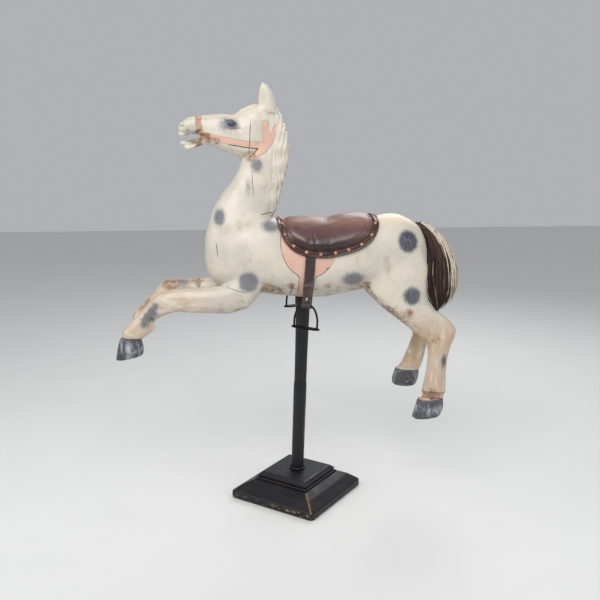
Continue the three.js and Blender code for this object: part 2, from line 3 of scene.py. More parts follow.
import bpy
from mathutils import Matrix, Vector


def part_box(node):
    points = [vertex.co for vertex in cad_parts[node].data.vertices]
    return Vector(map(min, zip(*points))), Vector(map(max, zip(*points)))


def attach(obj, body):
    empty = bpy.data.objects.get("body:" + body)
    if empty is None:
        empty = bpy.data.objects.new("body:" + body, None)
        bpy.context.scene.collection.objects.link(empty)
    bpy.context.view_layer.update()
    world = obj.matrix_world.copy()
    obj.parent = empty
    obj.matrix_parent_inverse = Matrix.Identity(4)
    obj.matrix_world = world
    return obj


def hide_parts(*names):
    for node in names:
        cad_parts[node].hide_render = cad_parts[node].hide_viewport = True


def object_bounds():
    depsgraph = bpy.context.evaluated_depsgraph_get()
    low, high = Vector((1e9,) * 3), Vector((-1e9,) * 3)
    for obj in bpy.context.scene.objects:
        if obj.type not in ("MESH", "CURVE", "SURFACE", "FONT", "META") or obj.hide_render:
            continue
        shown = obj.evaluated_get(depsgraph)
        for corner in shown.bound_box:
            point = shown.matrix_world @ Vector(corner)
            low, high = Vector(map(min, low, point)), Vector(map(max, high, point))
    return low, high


bl_info = {
    "name": "Carousel Horse",
    "version": (1, 0, 0),
    "blender": (4, 5, 0),
    "location": "3D View > Sidebar > Carousel Horse",
    "description": "Builds a worn dappled carousel horse with its saddle, stirrups, tail and stand",
    "category": "Object",
}

import math
import random

import bmesh
import bpy
import numpy as np
from mathutils import Matrix, Vector, noise
from mathutils.bvhtree import BVHTree

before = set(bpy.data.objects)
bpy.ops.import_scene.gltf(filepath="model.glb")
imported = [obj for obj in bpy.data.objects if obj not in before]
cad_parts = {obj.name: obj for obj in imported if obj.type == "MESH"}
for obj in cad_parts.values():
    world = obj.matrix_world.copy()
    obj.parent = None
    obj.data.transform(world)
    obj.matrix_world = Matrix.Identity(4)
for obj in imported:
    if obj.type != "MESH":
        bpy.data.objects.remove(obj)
CAD_BOX = [list(corner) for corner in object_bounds()]
MM = 0.001


def paint(red, green, blue):
    """A screen colour, 0 to 255, as the linear colour that the sliders hold."""
    shares = (red / 255, green / 255, blue / 255)
    return tuple(c / 12.92 if c <= 0.04045 else ((c + 0.055) / 1.055) ** 2.4 for c in shares)


def colour_slider(name, description, default):
    return bpy.props.FloatVectorProperty(
        name=name, description=description, default=default, size=3, min=0.0, max=1.0, subtype="COLOR"
    )


def length_slider(name, description, default):
    return bpy.props.FloatProperty(
        name=name, description=description, default=default, min=0.0, unit="LENGTH", precision=4
    )


def share_slider(name, description, default):
    return bpy.props.FloatProperty(
        name=name, description=description, default=default, min=0.0, max=1.0, subtype="FACTOR"
    )


# ---- sizes and colours ----
class CAROUSEL_PG_carving(bpy.types.PropertyGroup):
    """How finely the wood is carved."""

    grid: length_slider("Carving Grid", "Spacing of the points that the horse is carved from", 0.0033)
    soften: length_slider("Body Softening", "How far creases on the body are rounded over", 0.014)
    lock_depth: length_slider("Mane Groove Depth", "Depth of the grooves between the locks of the mane", 0.0042)
    lock_width: length_slider("Mane Lock Width", "Width of one carved lock of the mane", 0.0145)
    faces: bpy.props.IntProperty(
        name="Triangles", description="Triangles left on the carved horse", default=178000, min=20000
    )


class CAROUSEL_PG_paints(bpy.types.PropertyGroup):
    """The old paint on the horse."""

    cream: colour_slider("Cream", "Main body paint", paint(211, 203, 187))
    shade: colour_slider("Shaded Cream", "Cooler patches of the body paint", paint(193, 187, 173))
    warm: colour_slider("Yellowed Cream", "Aged paint on the rump and forehead", paint(226, 201, 164))
    tan: colour_slider("Worn Tan", "Rubbed paint on the legs", paint(190, 165, 138))
    under: colour_slider("Undercoat", "Orange undercoat on the legs and bridle", paint(186, 146, 112))
    bare: colour_slider("Bare Wood", "Wood where the paint has gone", paint(132, 94, 68))
    dust: colour_slider("Grey Film", "Old dirt rubbed into the body paint", paint(158, 148, 128))
    # This colour also stands for painted shade in the hollows, creases and undersides of the horse.
    grime: colour_slider("Grime", "Dirt settled in the hollows", paint(84, 64, 44))
    dapple: colour_slider("Dapple", "Blue-grey of the dapples", paint(98, 102, 116))
    dapple_dark: colour_slider("Dapple Streaks", "Darkest strokes in the dapples", paint(38, 40, 48))
    rose: colour_slider("Rose", "Saddle cloth, girth and bridle", paint(212, 166, 151))
    ink: colour_slider("Outline", "Painted outlines", paint(54, 40, 38))
    hoof: colour_slider("Hoof", "Hoof paint", paint(72, 72, 78))
    # Also the painted highlight across the middle of each hoof.
    hoof_light: colour_slider("Rubbed and Highlit Hoof", "Rubbed hoof paint", paint(172, 174, 180))


class CAROUSEL_PG_saddle(bpy.types.PropertyGroup):
    """The stuffed seat and its nailed trim."""

    # The seat takes these three colours by height: its dark sides are painted shade and its pale top is painted light
    # from above. The worn colour also rubs the trim's edges and dulls the nails.
    leather: colour_slider("Seat Leather", "Dark sides of the seat", paint(40, 22, 24))
    middle: colour_slider("Plum Leather", "Shoulders of the seat", paint(92, 62, 62))
    worn: colour_slider("Worn Leather and Painted Top Light", "Rubbed top of the seat", paint(128, 92, 78))
    trim: colour_slider("Trim Leather", "Band round the seat", paint(48, 27, 24))
    copper: colour_slider("Copper", "Dome nails", paint(206, 150, 118))
    roll: length_slider("Roll Height", "How far the roll on the trim stands up", 0.0068)
    swell: length_slider("Stuffing Swell", "How far the stuffing may push the leather out", 0.004)
    fill: share_slider("Fill", "How tightly the seat is stuffed", 0.8)


class CAROUSEL_PG_tack(bpy.types.PropertyGroup):
    """Stirrup leathers and irons."""

    strap: colour_slider("Strap Leather", "Stirrup leathers", paint(46, 31, 30))
    worn: colour_slider("Worn Strap", "Rubbed edges of the leathers", paint(104, 76, 64))
    iron: colour_slider("Iron", "Stirrup irons", paint(22, 21, 22))
    rivet: colour_slider("Rivet", "Rivets through the leathers", paint(190, 180, 176))
    bevel: length_slider("Edge Rounding", "Rounding on the leather edges", 0.0009)


class CAROUSEL_PG_tail(bpy.types.PropertyGroup):
    """The hair tail."""

    dark: colour_slider("Dark Hair", "Front bundle of the tail", paint(36, 24, 21))
    brown: colour_slider("Brown Hair", "Lighter hairs of the front bundle", paint(98, 70, 58))
    blond: colour_slider("Blond Hair", "Outer bundle of the tail", paint(244, 232, 208))
    strands: bpy.props.IntProperty(
        name="Strands", description="Number of strands of hair", default=1300, min=20, max=2200
    )
    thickness: length_slider("Strand Thickness", "Thickness of one strand of hair", 0.0021)


class CAROUSEL_PG_stand(bpy.types.PropertyGroup):
    """Pole and base."""

    black: colour_slider("Black", "Paint of the pole and base", paint(20, 20, 24))
    rubbed: colour_slider("Rubbed Wood", "Edges where the black has worn through", paint(128, 92, 66))
    red: colour_slider("Red Undercoat", "Undercoat that shows at the cap's mouldings", paint(120, 62, 46))
    chip: colour_slider("Yellow Chips", "Filler in the chipped edge by the front corner", paint(190, 170, 122))
    stone: colour_slider("Grey Chips", "Filler further along the chipped edge", paint(104, 102, 96))
    grid: length_slider("Base Grid", "Spacing of the points on the base's mouldings", 0.0028)


class CAROUSEL_PG_stage(bpy.types.PropertyGroup):
    """Floor, lights and camera."""

    floor: colour_slider("Floor", "Pale floor", paint(226, 226, 224))
    lens: bpy.props.FloatProperty(name="Lens", description="Focal length", default=45.6, unit="CAMERA")
    back: length_slider("Camera Distance", "From the pole's plane to the camera", 2.744)
    height: length_slider("Camera Height", "Above the floor", 1.337)


def settings(name):
    return getattr(bpy.context.scene, "carousel_" + name)


# ---- mesh helpers ----
def only(obj):
    """Leaves one object selected and active."""
    bpy.ops.object.select_all(action="DESELECT")
    obj.select_set(True)
    bpy.context.view_layer.objects.active = obj


def copy_of(node, name):
    """A merged copy of a CAD node's mesh as a new object."""
    obj = bpy.data.objects.new(name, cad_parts[node].data.copy())
    bpy.context.scene.collection.objects.link(obj)
    obj.data.materials.clear()
    only(obj)
    bpy.ops.object.mode_set(mode="EDIT")
    bpy.ops.mesh.select_all(action="SELECT")
    bpy.ops.mesh.remove_doubles(threshold=2e-5)
    bpy.ops.object.mode_set(mode="OBJECT")
    return obj


def finish_with(obj, kind, **values):
    """Adds a modifier with these values and applies it."""
    only(obj)
    modifier = obj.modifiers.new(kind.title(), kind)
    for key, value in values.items():
        setattr(modifier, key, value)
    bpy.ops.object.modifier_apply(modifier=modifier.name)


def round_edges(obj, width, segments, degrees):
    """Bevels the edges that are sharper than this many degrees."""
    limit = math.radians(degrees)
    finish_with(obj, "BEVEL", width=width, segments=segments, limit_method="ANGLE", angle_limit=limit)


def smooth_shaded(obj, angle=math.radians(180)):
    only(obj)
    bpy.ops.object.shade_smooth_by_angle(angle=angle)


def new_mesh(name, points, faces):
    mesh = bpy.data.meshes.new(name)
    mesh.from_pydata([tuple(p) for p in points], [], [tuple(int(i) for i in f) for f in faces])
    mesh.validate()
    obj = bpy.data.objects.new(name, mesh)
    bpy.context.scene.collection.objects.link(obj)
    return obj


def points_of(obj):
    co = np.empty(len(obj.data.vertices) * 3)
    obj.data.vertices.foreach_get("co", co)
    return co.reshape(-1, 3)


def set_points(obj, co):
    obj.data.vertices.foreach_set("co", co.ravel())
    obj.data.update()


def normals_of(obj):
    n = np.empty(len(obj.data.vertices) * 3)
    obj.data.vertices.foreach_get("normal", n)
    return n.reshape(-1, 3)


def edges_of(obj):
    edges = np.empty(len(obj.data.edges) * 2, np.int64)
    obj.data.edges.foreach_get("vertices", edges)
    return edges.reshape(-1, 2)


def neighbour_mean(values, edges):
    n = len(values)
    count = np.maximum(np.bincount(edges.ravel(), minlength=n), 1)
    columns = [
        np.bincount(edges[:, 0], values[edges[:, 1], k], n) + np.bincount(edges[:, 1], values[edges[:, 0], k], n)
        for k in range(values.shape[1])
    ]
    return np.stack(columns, 1) / count[:, None]


def even_out(co, edges, passes, share):
    """Moves each point towards its neighbours' middle, by its own share of the way."""
    for _ in range(passes):
        co = co + share * (neighbour_mean(co, edges) - co)
    return co


def bend_of(obj, passes):
    """How sharply the surface bends out (above zero) or in (below zero), from about -1 to 1."""
    co, edges = points_of(obj), edges_of(obj)
    size = np.linalg.norm(co[edges[:, 0]] - co[edges[:, 1]], axis=1).mean()
    flat = even_out(co, edges, passes, 0.5)
    depth = np.einsum("ij,ij->i", co - flat, normals_of(obj))
    return np.clip(depth / (size * math.sqrt(passes) * 0.35), -1, 1)


def write_field(obj, name, values):
    """Keeps one number for each point, for the materials to read."""
    field = obj.data.attributes.new(name, "FLOAT", "POINT")
    field.data.foreach_set("value", np.asarray(values, np.float32))


def ease(low, high, value):
    t = np.clip((value - low) / (high - low), 0, 1)
    return t * t * (3 - 2 * t)


def rumple(co, scale, seed):
    """Smooth noise from -1 to 1 at each point."""
    shift = Vector((seed * 17.3, seed * 5.1, seed * 9.7))
    return np.array([noise.noise(Vector(p) * scale + shift) for p in co])


def settle(obj, material, slot, *nodes):
    """Rides the finished piece on the frame in place of its CAD nodes."""
    obj.data.materials.clear()
    obj.data.materials.append(material)
    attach(obj, "root")
    if nodes:
        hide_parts(*nodes)
    return obj


# ---- node helpers ----
def add(tree, kind, inputs=None, **values):
    made = tree.nodes.new("ShaderNode" + kind)
    for key, value in values.items():
        setattr(made, key, value)
    for key, value in (inputs or {}).items():
        if isinstance(value, bpy.types.NodeSocket):
            tree.links.new(value, made.inputs[key])
        elif isinstance(value, tuple) and len(value) == 3 and made.inputs[key].type == "RGBA":
            made.inputs[key].default_value = (*value, 1.0)
        else:
            made.inputs[key].default_value = value
    return made


def sum_of(tree, operation, first, second=0.0, clamp=False):
    return add(tree, "Math", {0: first, 1: second}, operation=operation, use_clamp=clamp).outputs[0]


def between(tree, value, low, high, start=0.0, end=1.0):
    values = {"Value": value, "From Min": low, "From Max": high, "To Min": start, "To Max": end}
    return add(tree, "MapRange", values, interpolation_type="SMOOTHSTEP").outputs["Result"]


def mix(tree, share, first, second, mode="MIX"):
    return add(tree, "Mix", {0: share, 6: first, 7: second}, data_type="RGBA", blend_type=mode).outputs[2]


def cloud(tree, vector, scale, detail=3.0, roughness=0.55, distortion=0.0):
    values = {"Vector": vector, "Scale": scale, "Detail": detail, "Roughness": roughness, "Distortion": distortion}
    return add(tree, "TexNoise", values).outputs["Fac"]


def turned(tree, vector, scale=(1, 1, 1), rotation=(0, 0, 0), location=(0, 0, 0)):
    values = {"Vector": vector, "Scale": scale, "Rotation": rotation, "Location": location}
    return add(tree, "Mapping", values).outputs[0]


def field(tree, name):
    return add(tree, "Attribute", attribute_name=name).outputs["Fac"]


def group_of(name, inputs, outputs, build):
    """A shader node group with named sockets, built once."""
    if name in bpy.data.node_groups:
        return bpy.data.node_groups[name]
    tree = bpy.data.node_groups.new(name, "ShaderNodeTree")
    for label, kind, default in inputs:
        socket = tree.interface.new_socket(label, in_out="INPUT", socket_type="NodeSocket" + kind)
        socket.default_value = default
    for label, kind in outputs:
        tree.interface.new_socket(label, in_out="OUTPUT", socket_type="NodeSocket" + kind)
    source = tree.nodes.new("NodeGroupInput")
    result = tree.nodes.new("NodeGroupOutput")
    for label, value in build(tree, source.outputs).items():
        tree.links.new(value, result.inputs[label])
    return tree


def use(tree, group, **inputs):
    made = tree.nodes.new("ShaderNodeGroup")
    made.node_tree = group
    for key, value in inputs.items():
        key = key.replace("_", " ")
        if isinstance(value, bpy.types.NodeSocket):
            tree.links.new(value, made.inputs[key])
        else:
            made.inputs[key].default_value = value
    return made.outputs


def worn_edge():
    def build(tree, given):
        ragged = cloud(tree, given["Vector"], given["Scale"], 4.0, 0.65)
        shifted = sum_of(tree, "MULTIPLY_ADD", sum_of(tree, "SUBTRACT", ragged, 0.5), given["Ragged"])
        tree.links.new(given["Bend"], shifted.node.inputs[2])
        return {"Mask": between(tree, shifted, given["Start"], given["Full"])}

    inputs = [
        ("Vector", "Vector", (0, 0, 0)),
        ("Bend", "Float", 0.0),
        ("Start", "Float", 0.3),
        ("Full", "Float", 0.6),
        ("Ragged", "Float", 0.8),
        ("Scale", "Float", 60.0),
    ]
    return group_of("Worn Edge", inputs, [("Mask", "Float")], build)


def hair_crack():
    def build(tree, given):
        wander = cloud(tree, given["Vector"], 38.0, 3.0)
        offset = sum_of(tree, "MULTIPLY", sum_of(tree, "SUBTRACT", wander, 0.5), given["Wander"])
        aside = add(tree, "CombineXYZ", {0: offset, 2: offset}).outputs[0]
        moved = add(tree, "VectorMath", {0: given["Vector"], 1: aside})
        flat = add(tree, "VectorMath", {0: moved.outputs[0], 1: (1, 0, 1)}, operation="MULTIPLY").outputs[0]
        along = add(tree, "VectorMath", {0: given["End"], 1: given["Start"]}, operation="SUBTRACT").outputs[0]
        away = add(tree, "VectorMath", {0: flat, 1: given["Start"]}, operation="SUBTRACT").outputs[0]
        dot = add(tree, "VectorMath", {0: away, 1: along}, operation="DOT_PRODUCT").outputs["Value"]
        square = add(tree, "VectorMath", {0: along, 1: along}, operation="DOT_PRODUCT").outputs["Value"]
        share = sum_of(tree, "DIVIDE", dot, square, clamp=True)
        nearest = add(tree, "VectorMath", {0: along, "Scale": share}, operation="SCALE").outputs[0]
        gap = add(tree, "VectorMath", {0: away, 1: nearest}, operation="SUBTRACT").outputs[0]
        distance = add(tree, "VectorMath", {0: gap}, operation="LENGTH").outputs["Value"]
        taper = between(tree, sum_of(tree, "ABSOLUTE", sum_of(tree, "SUBTRACT", share, 0.5)), 0.25, 0.5, 1.0, 0.35)
        width = sum_of(tree, "MULTIPLY", given["Width"], taper)
        return {"Mask": between(tree, sum_of(tree, "DIVIDE", distance, width), 0.45, 1.0, 1.0, 0.0)}

    inputs = [
        ("Vector", "Vector", (0, 0, 0)),
        ("Start", "Vector", (0, 0, 0)),
        ("End", "Vector", (0, 0, 1)),
        ("Width", "Float", 0.001),
        ("Wander", "Float", 0.006),
    ]
    return group_of("Hair Crack", inputs, [("Mask", "Float")], build)


def brush_strokes():
    def build(tree, given):
        long = turned(tree, given["Vector"], (1.0, 1.0, 0.16))
        wavy = cloud(tree, given["Vector"], 9.0, 2.0)
        strokes = cloud(tree, long, given["Scale"], 3.0, 0.6, 0.4)
        pits = cloud(tree, given["Vector"], sum_of(tree, "MULTIPLY", given["Scale"], 2.2), 4.0, 0.7)
        height = sum_of(tree, "ADD", sum_of(tree, "MULTIPLY", strokes, 0.6), sum_of(tree, "MULTIPLY", pits, 0.4))
        return {"Cloud": wavy, "Height": height}

    inputs = [("Vector", "Vector", (0, 0, 0)), ("Scale", "Float", 120.0)]
    return group_of("Brush Strokes", inputs, [("Cloud", "Float"), ("Height", "Float")], build)


def specks():
    def build(tree, given):
        cells = add(tree, "TexVoronoi", {"Vector": given["Vector"], "Scale": given["Scale"], "Randomness": 1.0})
        chance = add(tree, "SeparateColor", {0: cells.outputs["Color"]}).outputs[0]
        chosen = between(tree, chance, given["Amount"], sum_of(tree, "ADD", given["Amount"], 0.02), 1.0, 0.0)
        rough = cloud(tree, given["Vector"], sum_of(tree, "MULTIPLY", given["Scale"], 3.0), 3.0)
        size = sum_of(tree, "MULTIPLY", rough, given["Size"])
        dot = between(tree, sum_of(tree, "SUBTRACT", cells.outputs["Distance"], size), -0.04, 0.04, 1.0, 0.0)
        return {"Mask": sum_of(tree, "MULTIPLY", dot, chosen)}

    inputs = [
        ("Vector", "Vector", (0, 0, 0)),
        ("Scale", "Float", 60.0),
        ("Amount", "Float", 0.1),
        ("Size", "Float", 0.5),
    ]
    return group_of("Specks", inputs, [("Mask", "Float")], build)


def leather_grain():
    def build(tree, given):
        cells = add(tree, "TexVoronoi", {"Vector": given["Vector"], "Scale": given["Scale"]}, feature="SMOOTH_F1")
        fine = cloud(tree, given["Vector"], sum_of(tree, "MULTIPLY", given["Scale"], 0.5), 4.0, 0.6)
        height = sum_of(tree, "ADD", cells.outputs["Distance"], sum_of(tree, "MULTIPLY", fine, 0.7))
        return {"Height": height, "Shade": cloud(tree, given["Vector"], 14.0, 4.0, 0.6, 0.6)}

    inputs = [("Vector", "Vector", (0, 0, 0)), ("Scale", "Float", 420.0)]
    return group_of("Leather Grain", inputs, [("Height", "Float"), ("Shade", "Float")], build)


def start_material(name):
    material = bpy.data.materials.new(name)
    material.use_nodes = True
    tree = material.node_tree
    tree.nodes.clear()
    vector = add(tree, "TexCoord").outputs["Object"]
    return material, tree, vector


def end_material(tree, colour, roughness, height=None, strength=0.3, distance=0.001, **plain):
    shader = add(tree, "BsdfPrincipled", {"Base Color": colour, "Roughness": roughness})
    for key, value in plain.items():
        socket = shader.inputs[key.replace("_", " ")]
        if isinstance(value, bpy.types.NodeSocket):
            tree.links.new(value, socket)
        else:
            socket.default_value = value
    if height is not None:
        bump = add(tree, "Bump", {"Height": height, "Strength": strength, "Distance": distance})
        tree.links.new(bump.outputs[0], shader.inputs["Normal"])
    out = tree.nodes.new("ShaderNodeOutputMaterial")
    tree.links.new(shader.outputs[0], out.inputs[0])


# ---- the carved horse: where its marks are, in millimetres ----
# Dapples: x, y, z of the middle, half length along x, half height, how dark.
DAPPLES = (
    (-144, -53, 1256, 20, 25, 0.45),
    (-277, -72, 1077, 21, 30, 0.62),
    (-96, -80, 1045, 34, 20, 0.5),
    (-175, -62, 1182, 6, 17, 0.45),
    (-179, -114, 852, 35, 36, 0.5),
    (192, -115, 858, 40, 25, 0.55),
    (391, -104, 988, 40, 40, 1.15),
    (406, -124, 793, 33, 33, 0.8),
    (-546, -106, 712, 15, 20, 0.55),
    (-532, -106, 731, 18, 21, 0.6),
    (-517, -106, 750, 18, 22, 0.6),
    (-507, -108, 770, 14, 16, 0.5),
    (-519, -104, 726, 8, 12, 0.9),
    (537, -108, 540, 11, 24, 0.9),
    (-243, -50, 1394, 29, 21, 0.42),
    (-222, -50, 1390, 20, 15, 0.6),
    (-228, -50, 1397, 14, 10, 1.3),
    (-150, 55, 1240, 22, 24, 0.5),
    (-262, 84, 1050, 26, 30, 0.6),
    (-165, 112, 900, 36, 34, 0.55),
    (170, 118, 850, 42, 26, 0.5),
    (376, 108, 975, 37, 35, 0.8),
    (420, 122, 815, 28, 30, 0.6),
    (-515, 108, 765, 22, 30, 0.6),
    (-243, 50, 1394, 29, 21, 0.42),
    (-222, 50, 1390, 20, 15, 0.6),
    (-228, 50, 1397, 14, 10, 1.3),
    (-420, 60, 824, 30, 14, 0.5),
)
# Places rubbed or stained through to the wood: x, y, z, reach, strength.
STAINS = (
    (-345, -34, 1402, 16, 0.5),
    (-336, -30, 1362, 20, 0.9),
    (-312, -36, 1344, 20, 0.8),
    (-285, -42, 1338, 18, 0.6),
    (-250, -40, 1312, 20, 0.35),
    (-168, -42, 1283, 24, 0.7),
    (-345, -20, 1330, 16, 0.8),
    (-378, -26, 1376, 10, 0.5),
    (-466, 60, 822, 34, 0.9),
    (-360, 58, 828, 26, 0.9),
    (-556, 70, 730, 40, 0.8),
    (-590, 80, 690, 26, 0.9),
    (-110, -84, 826, 26, 1.0),
    (-26, -110, 832, 18, 0.7),
    (60, -108, 808, 16, 0.8),
    (100, -112, 836, 18, 0.8),
    (312, -72, 768, 18, 0.9),
    (330, -70, 745, 16, 0.9),
    (350, -120, 745, 26, 0.5),
    (392, -110, 728, 30, 0.6),
    (420, -95, 890, 10, 0.9),
    (430, -60, 1020, 14, 0.5),
    (505, -110, 620, 26, 0.35),
    (500, -100, 412, 30, 0.9),
    (-300, -110, 760, 40, 0.35),
    (-210, -110, 770, 34, 0.5),
    (-345, 30, 1360, 22, 0.7),
    (-300, 40, 1344, 24, 0.5),
    (-110, 84, 826, 30, 0.8),
    (300, 80, 775, 30, 0.7),
    (-400, -90, 800, 26, 0.3),
    (120, 122, 850, 24, 0.5),
)
# Painted bridle bands: runs of x, z and half width.
BRIDLE = (
    ((-343, 1424, 10), (-340, 1380, 11), (-339, 1338, 10)),
    ((-336, 1360, 11), (-261, 1341, 11), (-175, 1326, 11), (-128, 1322, 12)),
    ((-112, 1398, 11), (-110, 1345, 12)),
    ((-74, 1392, 4), (-84, 1362, 8), (-98, 1336, 12), (-118, 1312, 13), (-142, 1294, 10), (-164, 1279, 5)),
)
INKED = ((-232, 1322, 5), (-171, 1314, 5), (-142, 1311, 5), (-168, 1281, 5))
# Cracks and joints in the wood: x and z of both ends, width.
CRACKS = (
    ((-163, 1412), (-170, 1292), 1.7),
    ((-160, 1234), (-157, 1142), 1.5),
    ((-134, 1085), (-84, 1092), 2.2),
    ((-257, 835), (-193, 815), 1.6),
    ((-22, 846), (-31, 792), 2.6),
    ((-289, 990), (-286, 944), 1.8),
)
# The lower edge of the mane on the neck: z and x, in millimetres.
MANE_EDGE = ((1080, -96), (1130, -94), (1190, -88), (1254, -86), (1306, -84), (1357, -78), (1400, -72), (1446, -78))


EYE = (-0.229, 0.05, 1.397)  # the middle of the right eye; the left one mirrors it


def band(runs, x, z):
    """How far inside a painted band a point lies, in metres; below zero outside it."""
    best = np.full(len(x), -1.0)
    for (ax, az, aw), (bx, bz, bw) in zip(runs, runs[1:]):
        dx, dz = (bx - ax) * MM, (bz - az) * MM
        t = np.clip(((x - ax * MM) * dx + (z - az * MM) * dz) / (dx * dx + dz * dz), 0, 1)
        away = np.hypot(x - ax * MM - t * dx, z - az * MM - t * dz)
        best = np.maximum(best, (aw + (bw - aw) * t) * MM - away)
    return best


def near(co, x, y, z, reach):
    """1 at a place and 0 beyond its reach, in millimetres."""
    return 1 - ease(0.3, 1.0, np.linalg.norm(co - np.array((x, y, z)) * MM, axis=1) / (reach * MM))


def mane_share(co):
    """How far across the mane from its lower edge, in metres, and whether a point is on it."""
    x, y, z = co.T
    edge = np.interp(z / MM, [row[0] for row in MANE_EDGE], [row[1] for row in MANE_EDGE]) * MM
    across = x - edge
    on = ease(-0.004, 0.003, across) * ease(1.075, 1.10, z) * (1 - ease(1.43, 1.455, z)) * (1 - ease(0.012, 0.024, y))
    return across, on


def eye_place(co):
    """Places round the eye in its own slanted axes, in half sizes of the eye."""
    x, z = co[:, 0] - EYE[0], co[:, 2] - EYE[2]
    return (0.82 * x - 0.57 * z) / 0.0165, (0.57 * x + 0.82 * z) / 0.0095


def carve(co, normals):
    """How far each point of the horse is moved along its normal by the finer carving."""
    x, y, z = co.T
    side = np.abs(y)
    carving = settings("carving")
    move = np.zeros(len(co))
    # locks of the mane
    across, on = mane_share(co)
    wave = 1.5 * np.sin(z * 15 + 1) + 0.8 * np.sin(z * 34 + across * 50) + 0.3 * np.sin(z * 77 + across * 90)
    phase = across / carving.lock_width * math.pi + wave + z * 10
    strand = np.abs(np.sin(phase * 3 + 1.5 * np.sin(z * 40)))
    move -= on * carving.lock_depth * ((1 - np.abs(np.sin(phase))) ** 1.5 + 0.22 * (1 - strand))
    move -= 0.003 * np.exp(-((across + 0.003) / 0.0035) ** 2) * ease(1.08, 1.1, z) * (1 - ease(1.41, 1.43, z)) * (y < 0)
    # forelock
    fore = ease(-0.222, -0.205, x) * (1 - ease(-0.125, -0.105, x)) * ease(1.424, 1.434, z)
    fore = fore * (1 - ease(0.026, 0.034, side))
    move -= fore * 0.0022 * (1 - np.abs(np.sin((y + 0.006 * np.sin(x * 60)) / 0.0088 * math.pi))) ** 1.5
    # eye: ball, lids and socket
    u, v = eye_place(co)
    q = np.sqrt(u * u + (v / np.clip(1.15 - 0.55 * u * u, 0.25, 1)) ** 2)
    face = ease(0.030, 0.036, side) * (z > 1.3) * (x < -0.15)
    move += face * (0.0022 * (1 - ease(0.0, 0.95, q)) - 0.0026 * np.exp(-(((q - 1.0) / 0.16) ** 2)))
    move += face * (0.0022 * np.exp(-(((q - 1.42) / 0.28) ** 2)) - 0.0018 * np.exp(-(((q - 2.3) / 0.5) ** 2)) * (v < 0.3))
    # nostril
    nx, nz = x + 0.397, z - 1.386
    nostril = np.sqrt(((0.8 * nx + 0.6 * nz) / 0.0105) ** 2 + ((-0.6 * nx + 0.8 * nz) / 0.0065) ** 2)
    move -= (side > 0.018) * 0.0042 * (1 - ease(0.35, 1.15, nostril))
    # cheek, edge of the jaw, corner of the mouth
    jaw = np.hypot(x + 0.158, z - 1.352)
    cheek = 0.0016 * (1 - ease(0.03, 0.062, jaw)) - 0.0016 * np.exp(-(((jaw - 0.072) / 0.006) ** 2))
    move += (side > 0.03) * (x < -0.06) * (z > 1.27) * cheek
    crease = band(((-352, 1366, 1), (-328, 1371, 1)), x, z)
    move -= (side > 0.012) * 0.0024 * np.exp(-((crease / 0.003) ** 2))
    cheekbone = band(((-330, 1392, 1), (-262, 1374, 1), (-205, 1366, 1)), x, z)
    move += (side > 0.025) * 0.0012 * np.exp(-((cheekbone / 0.008) ** 2))
    # tendons down the hind cannons
    cannon = ease(0.44, 0.47, z) * (1 - ease(0.57, 0.60, z)) * (x > 0.4)
    move -= cannon * 0.0014 * np.exp(-(((x - 0.536) / 0.006) ** 2))
    # mended pastern of the left hind leg
    mend = (y < -0.02) * (x > 0.44) * np.exp(-(((z - 0.412 + 0.08 * (x - 0.5)) / 0.0105) ** 4)) * (z < 0.44)
    lumps = 0.6 + 0.8 * np.abs(np.sin(x * 230)) * np.abs(np.sin(y * 270 + 1))
    move += mend * 0.0022 * lumps
    return move


def shrink_share(co):
    """Which share of the softening each part of the horse takes: all of it on the body, little on the head."""
    x, y, z = co.T
    neck = 1 - 0.6 * ease(1.05, 1.15, z) * (x < 0.1)
    legs = np.where(x < 0, ease(-0.36, -0.22, x), 1 - ease(0.24, 0.34, x) * (1 - ease(0.72, 0.84, z)))
    low = np.where(z < 0.86, 0.13 + 0.87 * np.clip(legs, 0, 1) * ease(0.70, 0.80, z), 1.0)
    head = ease(1.255, 1.30, z) * (1 - ease(-0.07, -0.03, x))
    share = np.minimum(neck, low) * (1 - head) + 0.11 * head
    fine = (x < -0.33) * (z > 1.29) + (z > 1.44)
    mane = ease(1.08, 1.12, z) * ease(-0.11, -0.10, x) * (x < 0.02)
    share = np.where(fine > 0, 0.05, share)
    share = np.where(z > 1.45, 0.10, share)
    hooves = ((x < -0.5) & (z < 0.675)) | ((x > 0.38) & (z < 0.475))
    share = np.where(hooves, 0.13, share)
    share = share * (1 - 0.75 * ease(-0.20, -0.24, x) * ease(0.80, 0.83, z) * (1 - ease(0.92, 0.97, z)))
    return np.clip(np.minimum(share, 1 - 0.85 * mane), 0.02, 1)


# Boxes round the hooves: lowest and highest corners, in metres.
HOOF_BOXES = (
    ((-0.66, -0.30, 0), (-0.5, 0, 0.70)),
    ((-0.66, 0, 0), (-0.5, 0.3, 0.72)),
    ((0.38, -0.3, 0), (0.56, 0, 0.42)),
    ((0.3, 0, 0), (0.5, 0.3, 0.49)),
)


